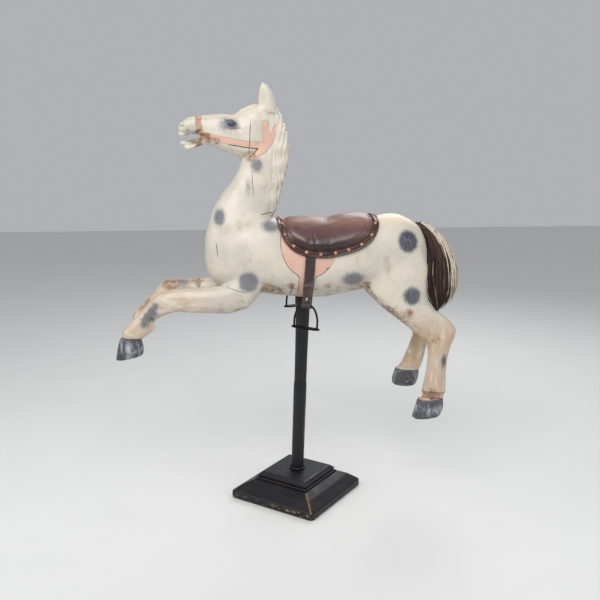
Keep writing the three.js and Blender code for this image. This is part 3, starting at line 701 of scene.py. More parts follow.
def mark_horse(obj):
    """Writes the fields that the horse's paint follows."""
    co, normals = points_of(obj), normals_of(obj)
    x, y, z = co.T
    side = np.abs(y)
    spot = np.full(len(co), -1.0)
    tone = np.zeros(len(co))
    for px, py, pz, rx, rz, dark in DAPPLES:
        away = np.sqrt(((x / MM - px) / rx) ** 2 + ((y / MM - py) / 45) ** 2 + ((z / MM - pz) / rz) ** 2)
        inside = (1 - away) * min(rx, rz) * MM
        tone = np.maximum(tone, dark * ease(-0.006, 0.004, inside))
        spot = np.maximum(spot, inside)
    cloth = 0.110 * (1 - np.hypot((x - 0.034) / 0.100, (z - 0.990) / 0.124))
    lean = 0.026 + 0.05 * (z - 0.87)
    girth = np.minimum(0.027 - np.abs(x - lean), 0.92 - z)
    rose = np.maximum(cloth, girth)
    rose = np.where((z < 1.05) & (z > 0.74) & (x > -0.2) & (x < 0.3), rose, -1.0)
    head = (x < -0.05) & (z > 1.25)
    bridle = np.max([band(runs, x, z) for runs in BRIDLE], axis=0)
    rose = np.where(head & (normals[:, 0] < 0.75), bridle, rose)
    rose = np.clip(rose, -0.03, 0.03)
    inked = ease(-0.006, 0.0, band(INKED, x, z)) * head
    ink = np.where(head, 0.25 + 0.75 * inked, 0.72 * (side > 0.05))
    # painted shade mixed with dirt: the undersides of the barrel and legs darken by how far they face down, and so do
    # the places round the elbows, stifles and groin, under the jaw and between the thighs
    down = np.clip(-normals[:, 2], 0, 1)
    body = ease(0.70, 0.76, z) * (1 - ease(0.86, 0.93, z))
    grime = 0.75 * down * body * ease(-0.30, -0.15, x)
    for place in ((-100, -75, 812, 66), (-100, 75, 812, 66), (246, -70, 818, 44), (246, 70, 818, 44)):
        grime = grime + 0.75 * near(co, *place)
    groin = band(((236, 820, 5), (290, 782, 8), (345, 734, 9), (400, 694, 9), (448, 664, 8)), x, z)
    grime = grime + 0.62 * ease(-0.012, 0.006, groin) * (x > 0.2)
    for place in ((-160, -40, 1282, 34), (-160, 40, 1282, 34), (-110, -10, 1270, 46), (-330, 0, 1346, 30)):
        grime = grime + 0.55 * near(co, *place)
    fore = (x < -0.15) & (z < 0.86)
    hind = (x > 0.2) & (z < 0.86)
    grime = grime + 0.7 * ease(0.35, 0.95, down) * (fore | hind) + 0.8 * near(co, 432, 0, 880, 60)
    tan = np.where(fore, ease(-0.24, -0.42, x) * 0.75, 0) + np.where(hind, 1 - ease(0.62, 0.78, z), 0)
    warm = ease(0.55, 0.95, normals[:, 2]) * (ease(0.2, 0.3, x) * (z > 0.95) + head * (x > -0.26))
    coronet = np.max(
        [
            0.657 - z - 0.06 * (x + 0.6) - 10.0 * ((x > -0.5) | (y > 0) | (z > 0.70)),
            0.690 - z + 0.30 * (x + 0.58) - 10.0 * ((x > -0.49) | (y < 0) | (z > 0.72)),
            0.393 - z + 0.06 * (x - 0.49) - 10.0 * ((x < 0.3) | (y > 0)),
            0.463 - z - 0.06 * (x - 0.44) - 10.0 * ((x < 0.3) | (y < 0)),
        ],
        axis=0,
    )
    # how far down its own hoof a point lies, 1 at the sole
    sole = np.zeros(len(co))
    for low, high in HOOF_BOXES:
        mine = ((co > low) & (co < high)).all(axis=1) & (coronet > 0)
        if mine.any():
            sole[mine] = np.clip(coronet[mine] / np.quantile(coronet[mine], 0.995), 0, 1)
    worn_band = ease(-0.27, -0.33, x) * head
    stain = np.zeros(len(co))
    for px, py, pz, reach, strength in STAINS:
        stain = np.maximum(stain, 1.15 * strength * near(co, px, py, pz, 1.5 * reach))
    mend = np.where((y < 0) & (x > 0.44) & (z < 0.44), 0.013 - np.abs(z - 0.411 + 0.08 * (x - 0.5)), -0.03)
    mouth = near(co, -375, 0, 1350, 40) * (1 - ease(0.014, 0.024, side)) * (x < -0.335)
    rows = (np.abs(z - 1.364) < 0.008) | (np.abs(z - 1.327) < 0.008)
    tooth = ((side < 0.03) & (x < -0.365) & rows).astype(float)
    fields = {
        "bend": bend_of(obj, 4),
        "broad_bend": bend_of(obj, 30),
        "spot": np.clip(spot, -0.05, 0.05),
        "spot_tone": tone,
        "rose": rose,
        "ink": ink,
        "grime": np.clip(grime, 0, 1),
        "stain": stain,
        "tan": np.clip(tan, 0, 1),
        "warm": np.clip(warm, 0, 1),
        "hoof": np.clip(coronet, -0.03, 0.1),
        "mend": np.clip(mend, -0.03, 0.03),
        "mouth": mouth,
        "tooth": tooth,
        "sole": sole,
        "worn_band": worn_band,
    }
    for name, values in fields.items():
        write_field(obj, name, values)


def painted_wood():
    """Old cream paint with dapples, rose tack painted on, cracks, dirt with painted shade in the hollows and
    undersides, rubbed edges and a painted highlight on the hooves.
    """
    paints = settings("paints")
    colours = {key: tuple(getattr(paints, key)) for key in paints.__annotations__}
    material, tree, vector = start_material("Old Painted Wood")
    brush = use(tree, brush_strokes(), Vector=vector, Scale=150.0)
    fine = cloud(tree, vector, 70.0, 4.0, 0.65)
    blotch = cloud(tree, vector, 7.0, 4.0, 0.6, 0.3)
    bend, broad = field(tree, "bend"), field(tree, "broad_bend")
    colour = mix(tree, between(tree, blotch, 0.38, 0.66), colours["cream"], colours["shade"])
    warm = sum_of(tree, "MULTIPLY", field(tree, "warm"), between(tree, blotch, 0.25, 0.6), clamp=True)
    colour = mix(tree, warm, colour, colours["warm"])
    # brushed streaks and the grey film rubbed into the body
    combed = cloud(tree, turned(tree, vector, (1.0, 1.0, 0.14)), 210.0, 4.0, 0.7)
    colour = mix(tree, between(tree, combed, 0.50, 0.74, 0.0, 0.5), colour, colours["shade"])
    film = cloud(tree, turned(tree, vector, (1.0, 1.0, 0.6)), 19.0, 7.0, 0.72, 0.5)
    colour = mix(tree, between(tree, film, 0.54, 0.74, 0.0, 0.6), colour, colours["dust"])
    # flaking layers on the legs
    forward = between(tree, add(tree, "SeparateXYZ", {0: vector}).outputs[0], -0.1, 0.1)
    behind = cloud(tree, turned(tree, vector, (1.0, 1.0, 0.24)), 52.0, 6.0, 0.68, 0.4)
    before = cloud(tree, turned(tree, vector, (0.3, 1.0, 0.8), (0.0, -0.3, 0.0)), 52.0, 6.0, 0.68, 0.4)
    layers = add(tree, "Mix", {0: forward, 2: before, 3: behind}, data_type="FLOAT").outputs[0]
    leg = mix(tree, between(tree, layers, 0.34, 0.50), colours["cream"], colours["tan"])
    leg = mix(tree, between(tree, layers, 0.53, 0.66, 0.0, 0.75), leg, colours["under"])
    leg = mix(tree, between(tree, layers, 0.66, 0.73, 0.0, 0.6), leg, colours["grime"])
    rubbed = sum_of(tree, "MULTIPLY", field(tree, "tan"), between(tree, brush["Cloud"], 0.32, 0.62, 0.6, 1.0))
    colour = mix(tree, rubbed, colour, leg)
    # dapples, brushed on in short strokes
    streak = cloud(tree, turned(tree, vector, (1.0, 1.0, 0.30), (0.0, 0.35, 0.0)), 230.0, 4.0, 0.7, 0.5)
    ragged = sum_of(tree, "MULTIPLY_ADD", sum_of(tree, "SUBTRACT", streak, 0.5), 0.040)
    tree.links.new(field(tree, "spot"), ragged.node.inputs[2])
    spot = between(tree, ragged, -0.011, 0.009)
    tone = field(tree, "spot_tone")
    depth = sum_of(tree, "MULTIPLY", between(tree, streak, 0.66, 0.36, 0.15, 1.0), tone, clamp=True)
    dapple = mix(tree, depth, colours["dapple"], colours["dapple_dark"])
    density = between(tree, tone, 0.0, 1.0, 0.62, 1.0)
    colour = mix(tree, sum_of(tree, "MULTIPLY", spot, density), colour, dapple)
    # rose cloth, girth and bridle
    wobble = sum_of(tree, "MULTIPLY_ADD", sum_of(tree, "SUBTRACT", fine, 0.5), 0.0022)
    tree.links.new(field(tree, "rose"), wobble.node.inputs[2])
    patch = between(tree, wobble, -0.0006, 0.0006)
    faded = mix(tree, between(tree, brush["Cloud"], 0.35, 0.7), colours["rose"], colours["warm"])
    faded = mix(tree, 0.4, colours["rose"], faded)
    faded = mix(tree, between(tree, combed, 0.48, 0.70, 0.0, 0.45), faded, colours["shade"])
    rubbed_band = sum_of(tree, "MULTIPLY", field(tree, "worn_band"), between(tree, fine, 0.36, 0.56))
    faded = mix(tree, sum_of(tree, "MULTIPLY", rubbed_band, 0.5), faded, colours["bare"])
    colour = mix(tree, patch, colour, faded)
    away = sum_of(tree, "ABSOLUTE", wobble)
    line = between(tree, away, 0.0010, 0.0022, 1.0, 0.0)
    broken = between(tree, cloud(tree, vector, 42.0, 3.0), 0.34, 0.46, 0.25, 1.0)
    line = sum_of(tree, "MULTIPLY", sum_of(tree, "MULTIPLY", line, broken), field(tree, "ink"))
    colour = mix(tree, line, colour, colours["ink"])
    # mended pastern and mouth
    mend = between(tree, field(tree, "mend"), -0.002, 0.003)
    clay = mix(tree, between(tree, fine, 0.40, 0.56), colours["bare"], colours["tan"])
    colour = mix(tree, sum_of(tree, "MULTIPLY", mend, 0.9), colour, clay)
    rim = sum_of(tree, "ABSOLUTE", sum_of(tree, "SUBTRACT", field(tree, "mend"), 0.0015))
    rim = between(tree, rim, 0.0008, 0.0026, 0.9, 0.0)
    colour = mix(tree, sum_of(tree, "MULTIPLY", rim, between(tree, fine, 0.40, 0.5)), colour, colours["ink"])
    colour = mix(tree, sum_of(tree, "MULTIPLY", field(tree, "mouth"), 0.8), colour, colours["grime"])
    colour = mix(tree, sum_of(tree, "MULTIPLY", field(tree, "tooth"), 0.85), colour, colours["cream"])
    # painted shade mixed with dirt in the hollows and on the undersides, broken up by noise
    dirt_noise = cloud(tree, vector, 24.0, 7.0, 0.74, 0.5)
    settled = sum_of(tree, "MULTIPLY_ADD", sum_of(tree, "SUBTRACT", dirt_noise, 0.5), 1.8)
    hollow = sum_of(tree, "ADD", field(tree, "grime"), sum_of(tree, "MULTIPLY", broad, -0.6))
    tree.links.new(hollow, settled.node.inputs[2])
    dirt_and_shade = between(tree, settled, 0.28, 1.05, 0.0, 0.85)
    stained = sum_of(tree, "MULTIPLY_ADD", sum_of(tree, "SUBTRACT", dirt_noise, 0.5), 2.6)
    tree.links.new(field(tree, "stain"), stained.node.inputs[2])
    stained = between(tree, stained, 0.30, 0.95, 0.0, 0.85)
    brown = mix(tree, between(tree, fine, 0.36, 0.50), colours["under"], colours["bare"])
    brown = mix(tree, between(tree, fine, 0.50, 0.64), brown, colours["grime"])
    colour = mix(tree, stained, colour, brown)
    colour = mix(tree, dirt_and_shade, colour, mix(tree, between(tree, fine, 0.38, 0.62), colours["grime"], colours["tan"]))
    # painted shade: creases darken with how sharply the surface bends in
    groove = between(tree, bend, -0.20, -0.85, 0.0, 0.5)
    colour = mix(tree, groove, colour, colours["grime"])
    # rubbed through to the wood on the sharpest edges
    edge_wear = use(tree, worn_edge(), Vector=vector, Bend=bend, Start=0.42, Full=0.75, Ragged=1.1, Scale=48.0)["Mask"]
    colour = mix(tree, sum_of(tree, "MULTIPLY", edge_wear, 0.55), colour, colours["bare"])
    dots = use(tree, specks(), Vector=vector, Scale=64.0, Amount=0.13, Size=0.17)["Mask"]
    slanted = turned(tree, vector, (1.0, 1.0, 0.4), (0.0, 0.9, 0.0))
    flecks = use(tree, specks(), Vector=slanted, Scale=150.0, Amount=0.20, Size=0.30)["Mask"]
    dots = sum_of(tree, "MAXIMUM", dots, sum_of(tree, "MULTIPLY", flecks, between(tree, film, 0.48, 0.62)))
    colour = mix(tree, sum_of(tree, "MULTIPLY", dots, 0.55), colour, colours["grime"])
    # hooves: dark paint at the edges, a painted highlight across the middle between coronet and sole broken up by
    # noise, scuffs, and a bare rim at the sole
    edge = sum_of(tree, "MULTIPLY_ADD", sum_of(tree, "SUBTRACT", fine, 0.5), 0.006)
    tree.links.new(field(tree, "hoof"), edge.node.inputs[2])
    hoof = between(tree, edge, -0.001, 0.0015)
    sole = field(tree, "sole")
    pale = between(tree, cloud(tree, turned(tree, vector, (1.0, 1.0, 0.5)), 24.0, 4.0, 0.6, 0.4), 0.44, 0.68)
    # painted highlight: a pale band halfway between coronet and sole
    hoof_highlight_band = between(tree, sum_of(tree, "ABSOLUTE", sum_of(tree, "SUBTRACT", sole, 0.5)), 0.15, 0.5, 1.0, 0.15)
    hoof_paint_and_highlight = mix(tree, sum_of(tree, "MULTIPLY", pale, hoof_highlight_band), colours["hoof"], colours["hoof_light"])
    hoof_paint_and_highlight = mix(tree, between(tree, film, 0.50, 0.66, 0.0, 0.7), hoof_paint_and_highlight, colours["dapple_dark"])
    hoof_paint_and_highlight = mix(tree, between(tree, fine, 0.56, 0.68, 0.0, 0.5), hoof_paint_and_highlight, colours["hoof_light"])
    hoof_paint_and_highlight = mix(tree, between(tree, sole, 0.955, 0.985, 0.0, 0.8), hoof_paint_and_highlight, colours["tan"])
    colour = mix(tree, hoof, colour, hoof_paint_and_highlight)
    # cracks
    cracks = None
    for (ax, az), (bx, bz), width in CRACKS:
        ends = {"Start": (ax * MM, 0, az * MM), "End": (bx * MM, 0, bz * MM)}
        found = use(tree, hair_crack(), Vector=vector, Width=width * MM, **ends)["Mask"]
        cracks = found if cracks is None else sum_of(tree, "MAXIMUM", cracks, found)
    colour = mix(tree, sum_of(tree, "MULTIPLY", cracks, 0.9), colour, colours["ink"])
    height = sum_of(tree, "SUBTRACT", brush["Height"], sum_of(tree, "MULTIPLY", cracks, 1.6))
    height = sum_of(tree, "SUBTRACT", height, sum_of(tree, "MULTIPLY", dots, 0.5))
    roughness = between(tree, sum_of(tree, "ADD", fine, sum_of(tree, "MULTIPLY", dirt_and_shade, 0.4)), 0.3, 1.0, 0.36, 0.68)
    end_material(tree, colour, roughness, height, 0.35, 0.0012, Coat_Weight=0.12, Coat_Roughness=0.35)
    return material


def refine(obj, chosen, cuts):
    """Splits the faces among the chosen points more finely."""
    only(obj)
    obj.data.vertices.foreach_set("select", chosen)
    bpy.context.tool_settings.mesh_select_mode = (True, False, False)
    obj.data.edges.foreach_set("select", chosen[edges_of(obj)].all(axis=1))
    corners, starts = np.empty(len(obj.data.loops), np.int64), np.empty(len(obj.data.polygons), np.int64)
    obj.data.loops.foreach_get("vertex_index", corners)
    obj.data.polygons.foreach_get("loop_start", starts)
    obj.data.polygons.foreach_set("select", np.logical_and.reduceat(chosen[corners], starts))
    bpy.ops.object.mode_set(mode="EDIT")
    bpy.ops.mesh.subdivide(number_cuts=cuts)
    bpy.ops.object.mode_set(mode="OBJECT")


class CAROUSEL_OT_horse(bpy.types.Operator):
    """Carve and paint the horse from its frame solid"""

    bl_idname = "carousel.horse"
    bl_label = "Carved Horse"

    def execute(self, context):
        carving = settings("carving")
        horse = copy_of("horse", "carved_horse")
        finish_with(horse, "REMESH", mode="VOXEL", voxel_size=carving.grid)
        edges = edges_of(horse)
        co = points_of(horse)
        passes = int(round(4 * (carving.soften / carving.grid) ** 2))
        co = even_out(co, edges, passes, (0.5 * shrink_share(co))[:, None])
        set_points(horse, co)
        x, y, z = co.T
        refine(horse, (x < -0.335) & (z > 1.29), 1)
        for side in (-1, 1):
            eye = (EYE[0], side * EYE[1], EYE[2])
            refine(horse, np.linalg.norm(points_of(horse) - eye, axis=1) < 0.034, 2)
        co, normals = points_of(horse), normals_of(horse)
        co = co + normals * (carve(co, normals) + 0.0006)[:, None]
        low, high = (np.array(corner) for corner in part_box("horse"))
        set_points(horse, np.clip(co, low, high))
        keep = horse.vertex_groups.new(name="coarse")
        x, y, z = co.T
        detail = ((z > 1.27) & (x < -0.04)) | ((x > -0.12) & (x < 0.0) & (z > 1.07)) | (z > 1.4)
        coarse = np.flatnonzero(~detail)
        keep.add([int(i) for i in coarse], 1.0, "REPLACE")
        have = 2 * len(horse.data.polygons)
        finish_with(horse, "DECIMATE", ratio=carving.faces / have, vertex_group="coarse", vertex_group_factor=8.0)
        horse.vertex_groups.clear()
        smooth_shaded(horse)
        mark_horse(horse)
        settle(horse, painted_wood(), "painted_wood", "horse")
        return {"FINISHED"}


# ---- saddle ----
AXLE = 0.86  # height of the barrel's middle line, which the seat is wrapped round


def rims_of(obj, angle):
    """The sharp edges of a mesh as closed runs of points, in order round it."""
    shape = bmesh.new()
    shape.from_mesh(obj.data)
    shape.edges.index_update()
    sharp = {e.index: e for e in shape.edges if len(e.link_faces) == 2 and e.calc_face_angle(0) > angle}
    runs = []
    while sharp:
        edge = sharp.pop(min(sharp))
        first, at = edge.verts
        run = [first, at]
        while at != first:
            heading = (run[-1].co - run[-2].co).normalized()
            options = [e for e in at.link_edges if e.index in sharp]
            if not options:
                break
            edge = max(options, key=lambda e: (e.other_vert(at).co - at.co).normalized().dot(heading))
            del sharp[edge.index]
            at = edge.other_vert(at)
            run.append(at)
        if len(run) > 12 and run[-1] == first:
            runs.append(np.array([v.co for v in run[:-1]]))
    shape.free()
    return runs


def round_curve(points, count):
    """A smooth closed curve through the points, evenly spaced along its length."""
    n = len(points)
    t = np.arange(n * 16) / 16
    i = t.astype(int)
    f = (t - i)[:, None]
    a, b, c, d = (points[(i + k) % n] for k in (-1, 0, 1, 2))
    fine = 0.5 * (2 * b + (c - a) * f + (2 * a - 5 * b + 4 * c - d) * f**2 + (3 * b - a - 3 * c + d) * f**3)
    steps = np.linalg.norm(np.roll(fine, -1, 0) - fine, axis=1)
    along = np.concatenate([[0], np.cumsum(steps)])
    wanted = np.arange(count) / count * along[-1]
    closed = np.vstack([fine, fine[:1]])
    return np.stack([np.interp(wanted, along, closed[:, k]) for k in range(3)], 1)


def tube_mesh(name, rings):
    """A closed skin over rings of points, where the rings also close on themselves."""
    rings = np.array(rings)
    count, sides = rings.shape[:2]
    index = np.arange(count * sides).reshape(count, sides)
    ahead = np.roll(index, -1, 0)
    quads = np.stack([index, np.roll(index, -1, 1), np.roll(ahead, -1, 1), ahead], 2).reshape(-1, 4)
    obj = new_mesh(name, rings.reshape(-1, 3), quads)
    only(obj)
    bpy.ops.object.mode_set(mode="EDIT")
    bpy.ops.mesh.select_all(action="SELECT")
    bpy.ops.mesh.normals_make_consistent(inside=False)
    bpy.ops.object.mode_set(mode="OBJECT")
    return obj


def leather(name, dark, worn, grain, gloss):
    """Plain dark leather, rubbed paler along its edges."""
    material, tree, vector = start_material(name)
    surface = use(tree, leather_grain(), Vector=vector, Scale=grain)
    colour = mix(tree, between(tree, surface["Shade"], 0.35, 0.65, 0.0, 0.18), dark, worn)
    roughness = between(tree, surface["Shade"], 0.3, 0.7, gloss - 0.05, gloss + 0.14)
    bend = field(tree, "bend")
    wear = use(tree, worn_edge(), Vector=vector, Bend=bend, Start=0.1, Full=0.6, Ragged=0.9, Scale=70.0)
    colour = mix(tree, sum_of(tree, "MULTIPLY", wear["Mask"], 0.7), colour, worn)
    end_material(tree, colour, roughness, surface["Height"], 0.22, 0.0006, Coat_Weight=0.12, Coat_Roughness=0.3)
    return material


def seat_leather():
    """Glazed leather coloured by height as painted light and shade: nearly black in painted shade at the rim, plum on
    its shoulders and brown on top in painted light from above.
    """
    values = settings("saddle")
    low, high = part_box("saddle_pad")[0][2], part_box("saddle_pad")[1][2]
    material, tree, vector = start_material("Seat Leather")
    surface = use(tree, leather_grain(), Vector=vector, Scale=420.0)
    # painted light and shade: by height, with a little noise, the seat goes from the dark leather at the rim through
    # plum to the pale top leather
    up = between(tree, add(tree, "SeparateXYZ", {0: vector}).outputs[2], low, high)
    up.node.interpolation_type = "LINEAR"
    level = sum_of(tree, "MULTIPLY_ADD", sum_of(tree, "SUBTRACT", surface["Shade"], 0.5), 0.35)
    tree.links.new(up, level.node.inputs[2])
    colour = mix(tree, between(tree, level, 0.22, 0.60), tuple(values.leather), tuple(values.middle))
    top = between(tree, level, 0.60, 0.86)
    colour = mix(tree, top, colour, tuple(values.worn))
    roughness = add(tree, "Mix", {0: top, 2: 0.30, 3: 0.50}, data_type="FLOAT").outputs[0]
    end_material(tree, colour, roughness, surface["Height"], 0.2, 0.0006, Coat_Weight=0.3, Coat_Roughness=0.36)
    return material


def hammered_metal(name, bright, dull, roughness=0.3):
    material, tree, vector = start_material(name)
    cloudy = cloud(tree, vector, 160.0, 4.0, 0.6)
    colour = mix(tree, between(tree, cloudy, 0.42, 0.68), bright, dull)
    rough = between(tree, cloudy, 0.3, 0.7, roughness, roughness + 0.25)
    end_material(tree, colour, rough, cloud(tree, vector, 420.0, 3.0), 0.15, 0.0004, Metallic=0.9)
    return material


def swell(obj, pressure, cap, held):
    """Blows the leather up from inside with cloth, then lets no point move further than the cap."""
    rest = points_of(obj)
    hold = obj.vertex_groups.new(name="held")
    hold.add([int(i) for i in np.flatnonzero(held)], 1.0, "REPLACE")
    cloth = obj.modifiers.new("Cloth", "CLOTH")
    cloth.settings.quality = 6
    cloth.settings.mass = 0.4
    cloth.settings.tension_stiffness = 12
    cloth.settings.compression_stiffness = 12
    cloth.settings.bending_stiffness = 0.8
    cloth.settings.use_pressure = True
    cloth.settings.uniform_pressure_force = pressure
    cloth.settings.vertex_group_mass = "held"
    cloth.settings.effector_weights.gravity = 0
    cloth.point_cache.frame_start = 1
    cloth.point_cache.frame_end = 20
    for step in range(1, 21):
        bpy.context.scene.frame_set(step)
    only(obj)
    bpy.ops.object.modifier_apply(modifier=cloth.name)
    obj.vertex_groups.clear()
    bpy.context.scene.frame_set(1)
    move = points_of(obj) - rest
    length = np.linalg.norm(move, axis=1, keepdims=True)
    set_points(obj, rest + move * np.minimum(1, cap / np.maximum(length, 1e-9)))


def trim_rims():
    """The inner and outer rims of the trim's crown, point beside point, and the way out from the horse."""
    source = copy_of("saddle_trim", "trim_source")
    runs = rims_of(source, math.radians(28))
    bpy.data.objects.remove(source)
    fewest = min(len(run) for run in runs)
    runs = [run for run in runs if len(run) == fewest]
    runs.sort(key=lambda run: np.linalg.norm(np.roll(run, -1, 0) - run, axis=1).sum())
    if len(runs) < 2:
        raise RuntimeError("the trim's rims were not found")
    inner, outer = round_curve(runs[0], 320), round_curve(runs[-1], 2400)
    outer = outer[[int(np.argmin(np.linalg.norm(outer - p, axis=1))) for p in inner]]
    for _ in range(6):
        outer = (np.roll(outer, 1, 0) + 2 * outer + np.roll(outer, -1, 0)) / 4
    out = np.cross(np.roll(inner, -1, 0) - np.roll(inner, 1, 0), outer - inner)
    out /= np.linalg.norm(out, axis=1, keepdims=True)
    upward = np.stack([np.zeros(len(inner)), inner[:, 1], inner[:, 2] - AXLE], 1)
    out *= np.sign(np.einsum("ij,ij->i", out, upward))[:, None]
    return inner, outer, out


def seat_surface(inner):
    """The seat's skin wrapped round the barrel: rings of points out from the crown, above and below."""
    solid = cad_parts["saddle_pad"].data
    tree = BVHTree.FromPolygons([v.co for v in solid.vertices], [p.vertices for p in solid.polygons])
    middle = (inner[:, 0].min() + inner[:, 0].max()) / 2
    rim = round_curve(inner, 144)
    rim_x, rim_turn = rim[:, 0] - middle, np.arctan2(rim[:, 1], rim[:, 2] - AXLE)
    shares = np.concatenate([np.linspace(0.04, 0.86, 16), np.linspace(0.89, 1.075, 9)])
    tall, low = np.zeros((len(shares), len(rim))), np.zeros((len(shares), len(rim)))
    for k, share in enumerate(shares):
        for i in range(len(rim)):
            turn = rim_turn[i] * share
            heading = Vector((0, math.sin(turn), math.cos(turn)))
            foot = Vector((middle + rim_x[i] * share, 0, AXLE))
            top = tree.ray_cast(foot + heading * 0.5, -heading)[0]
            under = tree.ray_cast(foot, heading)[0]
            tall[k, i] = (top - foot).length if top else np.nan
            low[k, i] = (under - foot).length if under else np.nan
    # where the solid ends, the seat's edge lies just under the trim
    under_trim = np.hypot(rim[:, 1], rim[:, 2] - AXLE) - 0.0034
    tall = np.where(np.isnan(tall), under_trim, tall)
    share = shares[:, None]
    at_rim = np.where(share > 1.0, np.minimum(tall, under_trim), under_trim + 0.002)
    tall = np.where(share > 0.96, at_rim, tall)
    low = np.where(np.isnan(low), tall - 0.003, low)
    low = np.minimum(low, tall - 0.0025)
    for _ in range(5):
        rounder = (np.roll(tall, 1, 1) + np.roll(tall, -1, 1)) / 2
        rounder[1:-1] = (rounder[1:-1] + (tall[2:] + tall[:-2]) / 2) / 2
        rounder[0] = rounder[0].mean()
        hold = ease(0.97, 0.80, share)
        tall = tall + 0.6 * hold * (rounder - tall)
    points = []
    for reach in (tall, low):
        for k, share in enumerate(shares):
            turn = rim_turn * share
            across = np.stack([middle + rim_x * share, reach[k] * np.sin(turn), AXLE + reach[k] * np.cos(turn)], 1)
            points.append(across)
    rings = np.array(points)
    return rings[: len(shares)], rings[len(shares) :]


def skin_between(name, above, below):
    """A closed mesh of two stacks of rings that meet at their last ring, each closed by a middle point."""
    rings, sides = above.shape[:2]
    points = np.vstack([above.reshape(-1, 3), below.reshape(-1, 3), above[0].mean(0)[None], below[0].mean(0)[None]])
    faces = []
    for start, order in ((0, 1), (rings * sides, -1)):
        for k in range(rings - 1):
            for i in range(sides):
                j = (i + 1) % sides
                row, after = start + k * sides, start + (k + 1) * sides
                quad = (row + i, after + i, after + j, row + j)
                faces.append(quad[::order])
        centre = 2 * rings * sides + (0 if start == 0 else 1)
        for i in range(sides):
            faces.append((centre, start + i, start + (i + 1) % sides)[::order])
    last, under = (rings - 1) * sides, (2 * rings - 1) * sides
    for i in range(sides):
        j = (i + 1) % sides
        faces.append((last + i, under + i, under + j, last + j))
    obj = new_mesh(name, points, faces)
    only(obj)
    bpy.ops.object.mode_set(mode="EDIT")
    bpy.ops.mesh.select_all(action="SELECT")
    bpy.ops.mesh.normals_make_consistent(inside=False)
    bpy.ops.object.mode_set(mode="OBJECT")
    return obj


class CAROUSEL_OT_saddle(bpy.types.Operator):
    """Stuff the leather seat"""

    bl_idname = "carousel.saddle"
    bl_label = "Stuffed Seat"

    def execute(self, context):
        values = settings("saddle")
        inner, _, _ = trim_rims()
        above, below = seat_surface(inner)
        seat = skin_between("stuffed_seat", above, below)
        count = len(points_of(seat))
        held = np.ones(count, bool)
        rings, sides = above.shape[:2]
        held[: rings * sides] = np.repeat(np.arange(rings) > rings - 7, sides)
        held[-2] = False
        swell(seat, 4.0, values.swell, held)
        finish_with(seat, "SUBSURF", levels=1, render_levels=1)
        co, normals = points_of(seat), normals_of(seat)
        x, y, z = co.T
        side = np.abs(y)
        upper = np.einsum("ij,ij->i", normals, np.stack([np.zeros(len(co)), y, z - AXLE], 1)) > 0
        # a tuck below the waist, a crease along the top edge and slight rumples all over
        tuck = np.exp(-(((x - 0.052 - 0.3 * (side - 0.118)) / 0.0035) ** 2))
        tuck = tuck * np.exp(-(((side - 0.118) / 0.016) ** 2))
        fold = np.exp(-(((side - 0.083 - 0.01 * np.sin(x * 24)) / 0.004) ** 2))
        fold = fold * ease(-0.03, 0.02, x) * (1 - ease(0.2, 0.24, x))
        co = co - normals * ((0.0028 * tuck + 0.0008 * fold) * upper)[:, None]
        co = co + normals * ((0.0009 * rumple(co, 22, 2) + 0.0004 * rumple(co, 55, 5)) * upper)[:, None]
        set_points(seat, co)
        smooth_shaded(seat)
        settle(seat, seat_leather(), "saddle_leather", "saddle_pad")
        return {"FINISHED"}


class CAROUSEL_OT_trim(bpy.types.Operator):
    """Lay the rolled leather trim round the seat and drive in its dome nails"""

    bl_idname = "carousel.trim"
    bl_label = "Trim and Nails"

    def execute(self, context):
        values = settings("saddle")
        inner, outer, out = trim_rims()
        across = outer - inner
        nails = [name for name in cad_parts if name.startswith("saddle_nail")]
        heads = np.array([sum(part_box(name), Vector()) / 2 for name in nails])
        middle = (inner + outer) / 2
        gap = np.min(np.linalg.norm(middle[:, None] - heads[None], axis=2), axis=1)
        pinch = 1 - 0.8 * np.exp(-((gap / 0.011) ** 2))
        rings = []
        for i in range(len(inner)):
            ring = []
            for share, height in trim_section(values.roll * pinch[i]):
                ring.append(inner[i] + across[i] * share + out[i] * height)
            rings.append(ring)
        trim = tube_mesh("saddle_trim_roll", rings)
        smooth_shaded(trim, math.radians(50))
        write_field(trim, "bend", bend_of(trim, 2))
        finish = leather("Trim Leather", tuple(values.trim), tuple(values.worn), 520.0, 0.26)
        settle(trim, finish, "trim_leather", "saddle_trim")
        copper = hammered_metal("Copper Nails", tuple(values.copper), tuple(values.worn), 0.28)
        pattern = dome_nail()
        for name, head in zip(nails, heads):
            i = int(np.argmin(np.linalg.norm(middle - head, axis=1)))
            obj = bpy.data.objects.new(name + "_dome", pattern.data.copy())
            bpy.context.scene.collection.objects.link(obj)
            turn = Vector((0, 0, 1)).rotation_difference(Vector(out[i])).to_matrix().to_4x4()
            low = Vector(head) - Vector(out[i]) * 0.0014
            obj.data.transform(Matrix.Translation(low) @ turn)
            settle(obj, copper, "copper_nails", name)
        bpy.data.objects.remove(pattern)
        return {"FINISHED"}


def trim_section(roll):
    """Points round the trim's section: share of the way from its inner to its outer rim, and height."""
    top = []
    for k in range(15):
        share = k / 14
        bump = roll * math.exp(-(((share - 0.25) / 0.18) ** 2)) + 0.0014 * math.exp(-(((share - 0.9) / 0.08) ** 2))
        top.append((share, 0.0006 + bump))
    return [(-0.04, -0.003), *top, (1.04, -0.001), (1.03, -0.0062), (0.9, -0.0062), (0.88, -0.0042), (0.3, -0.0042)]


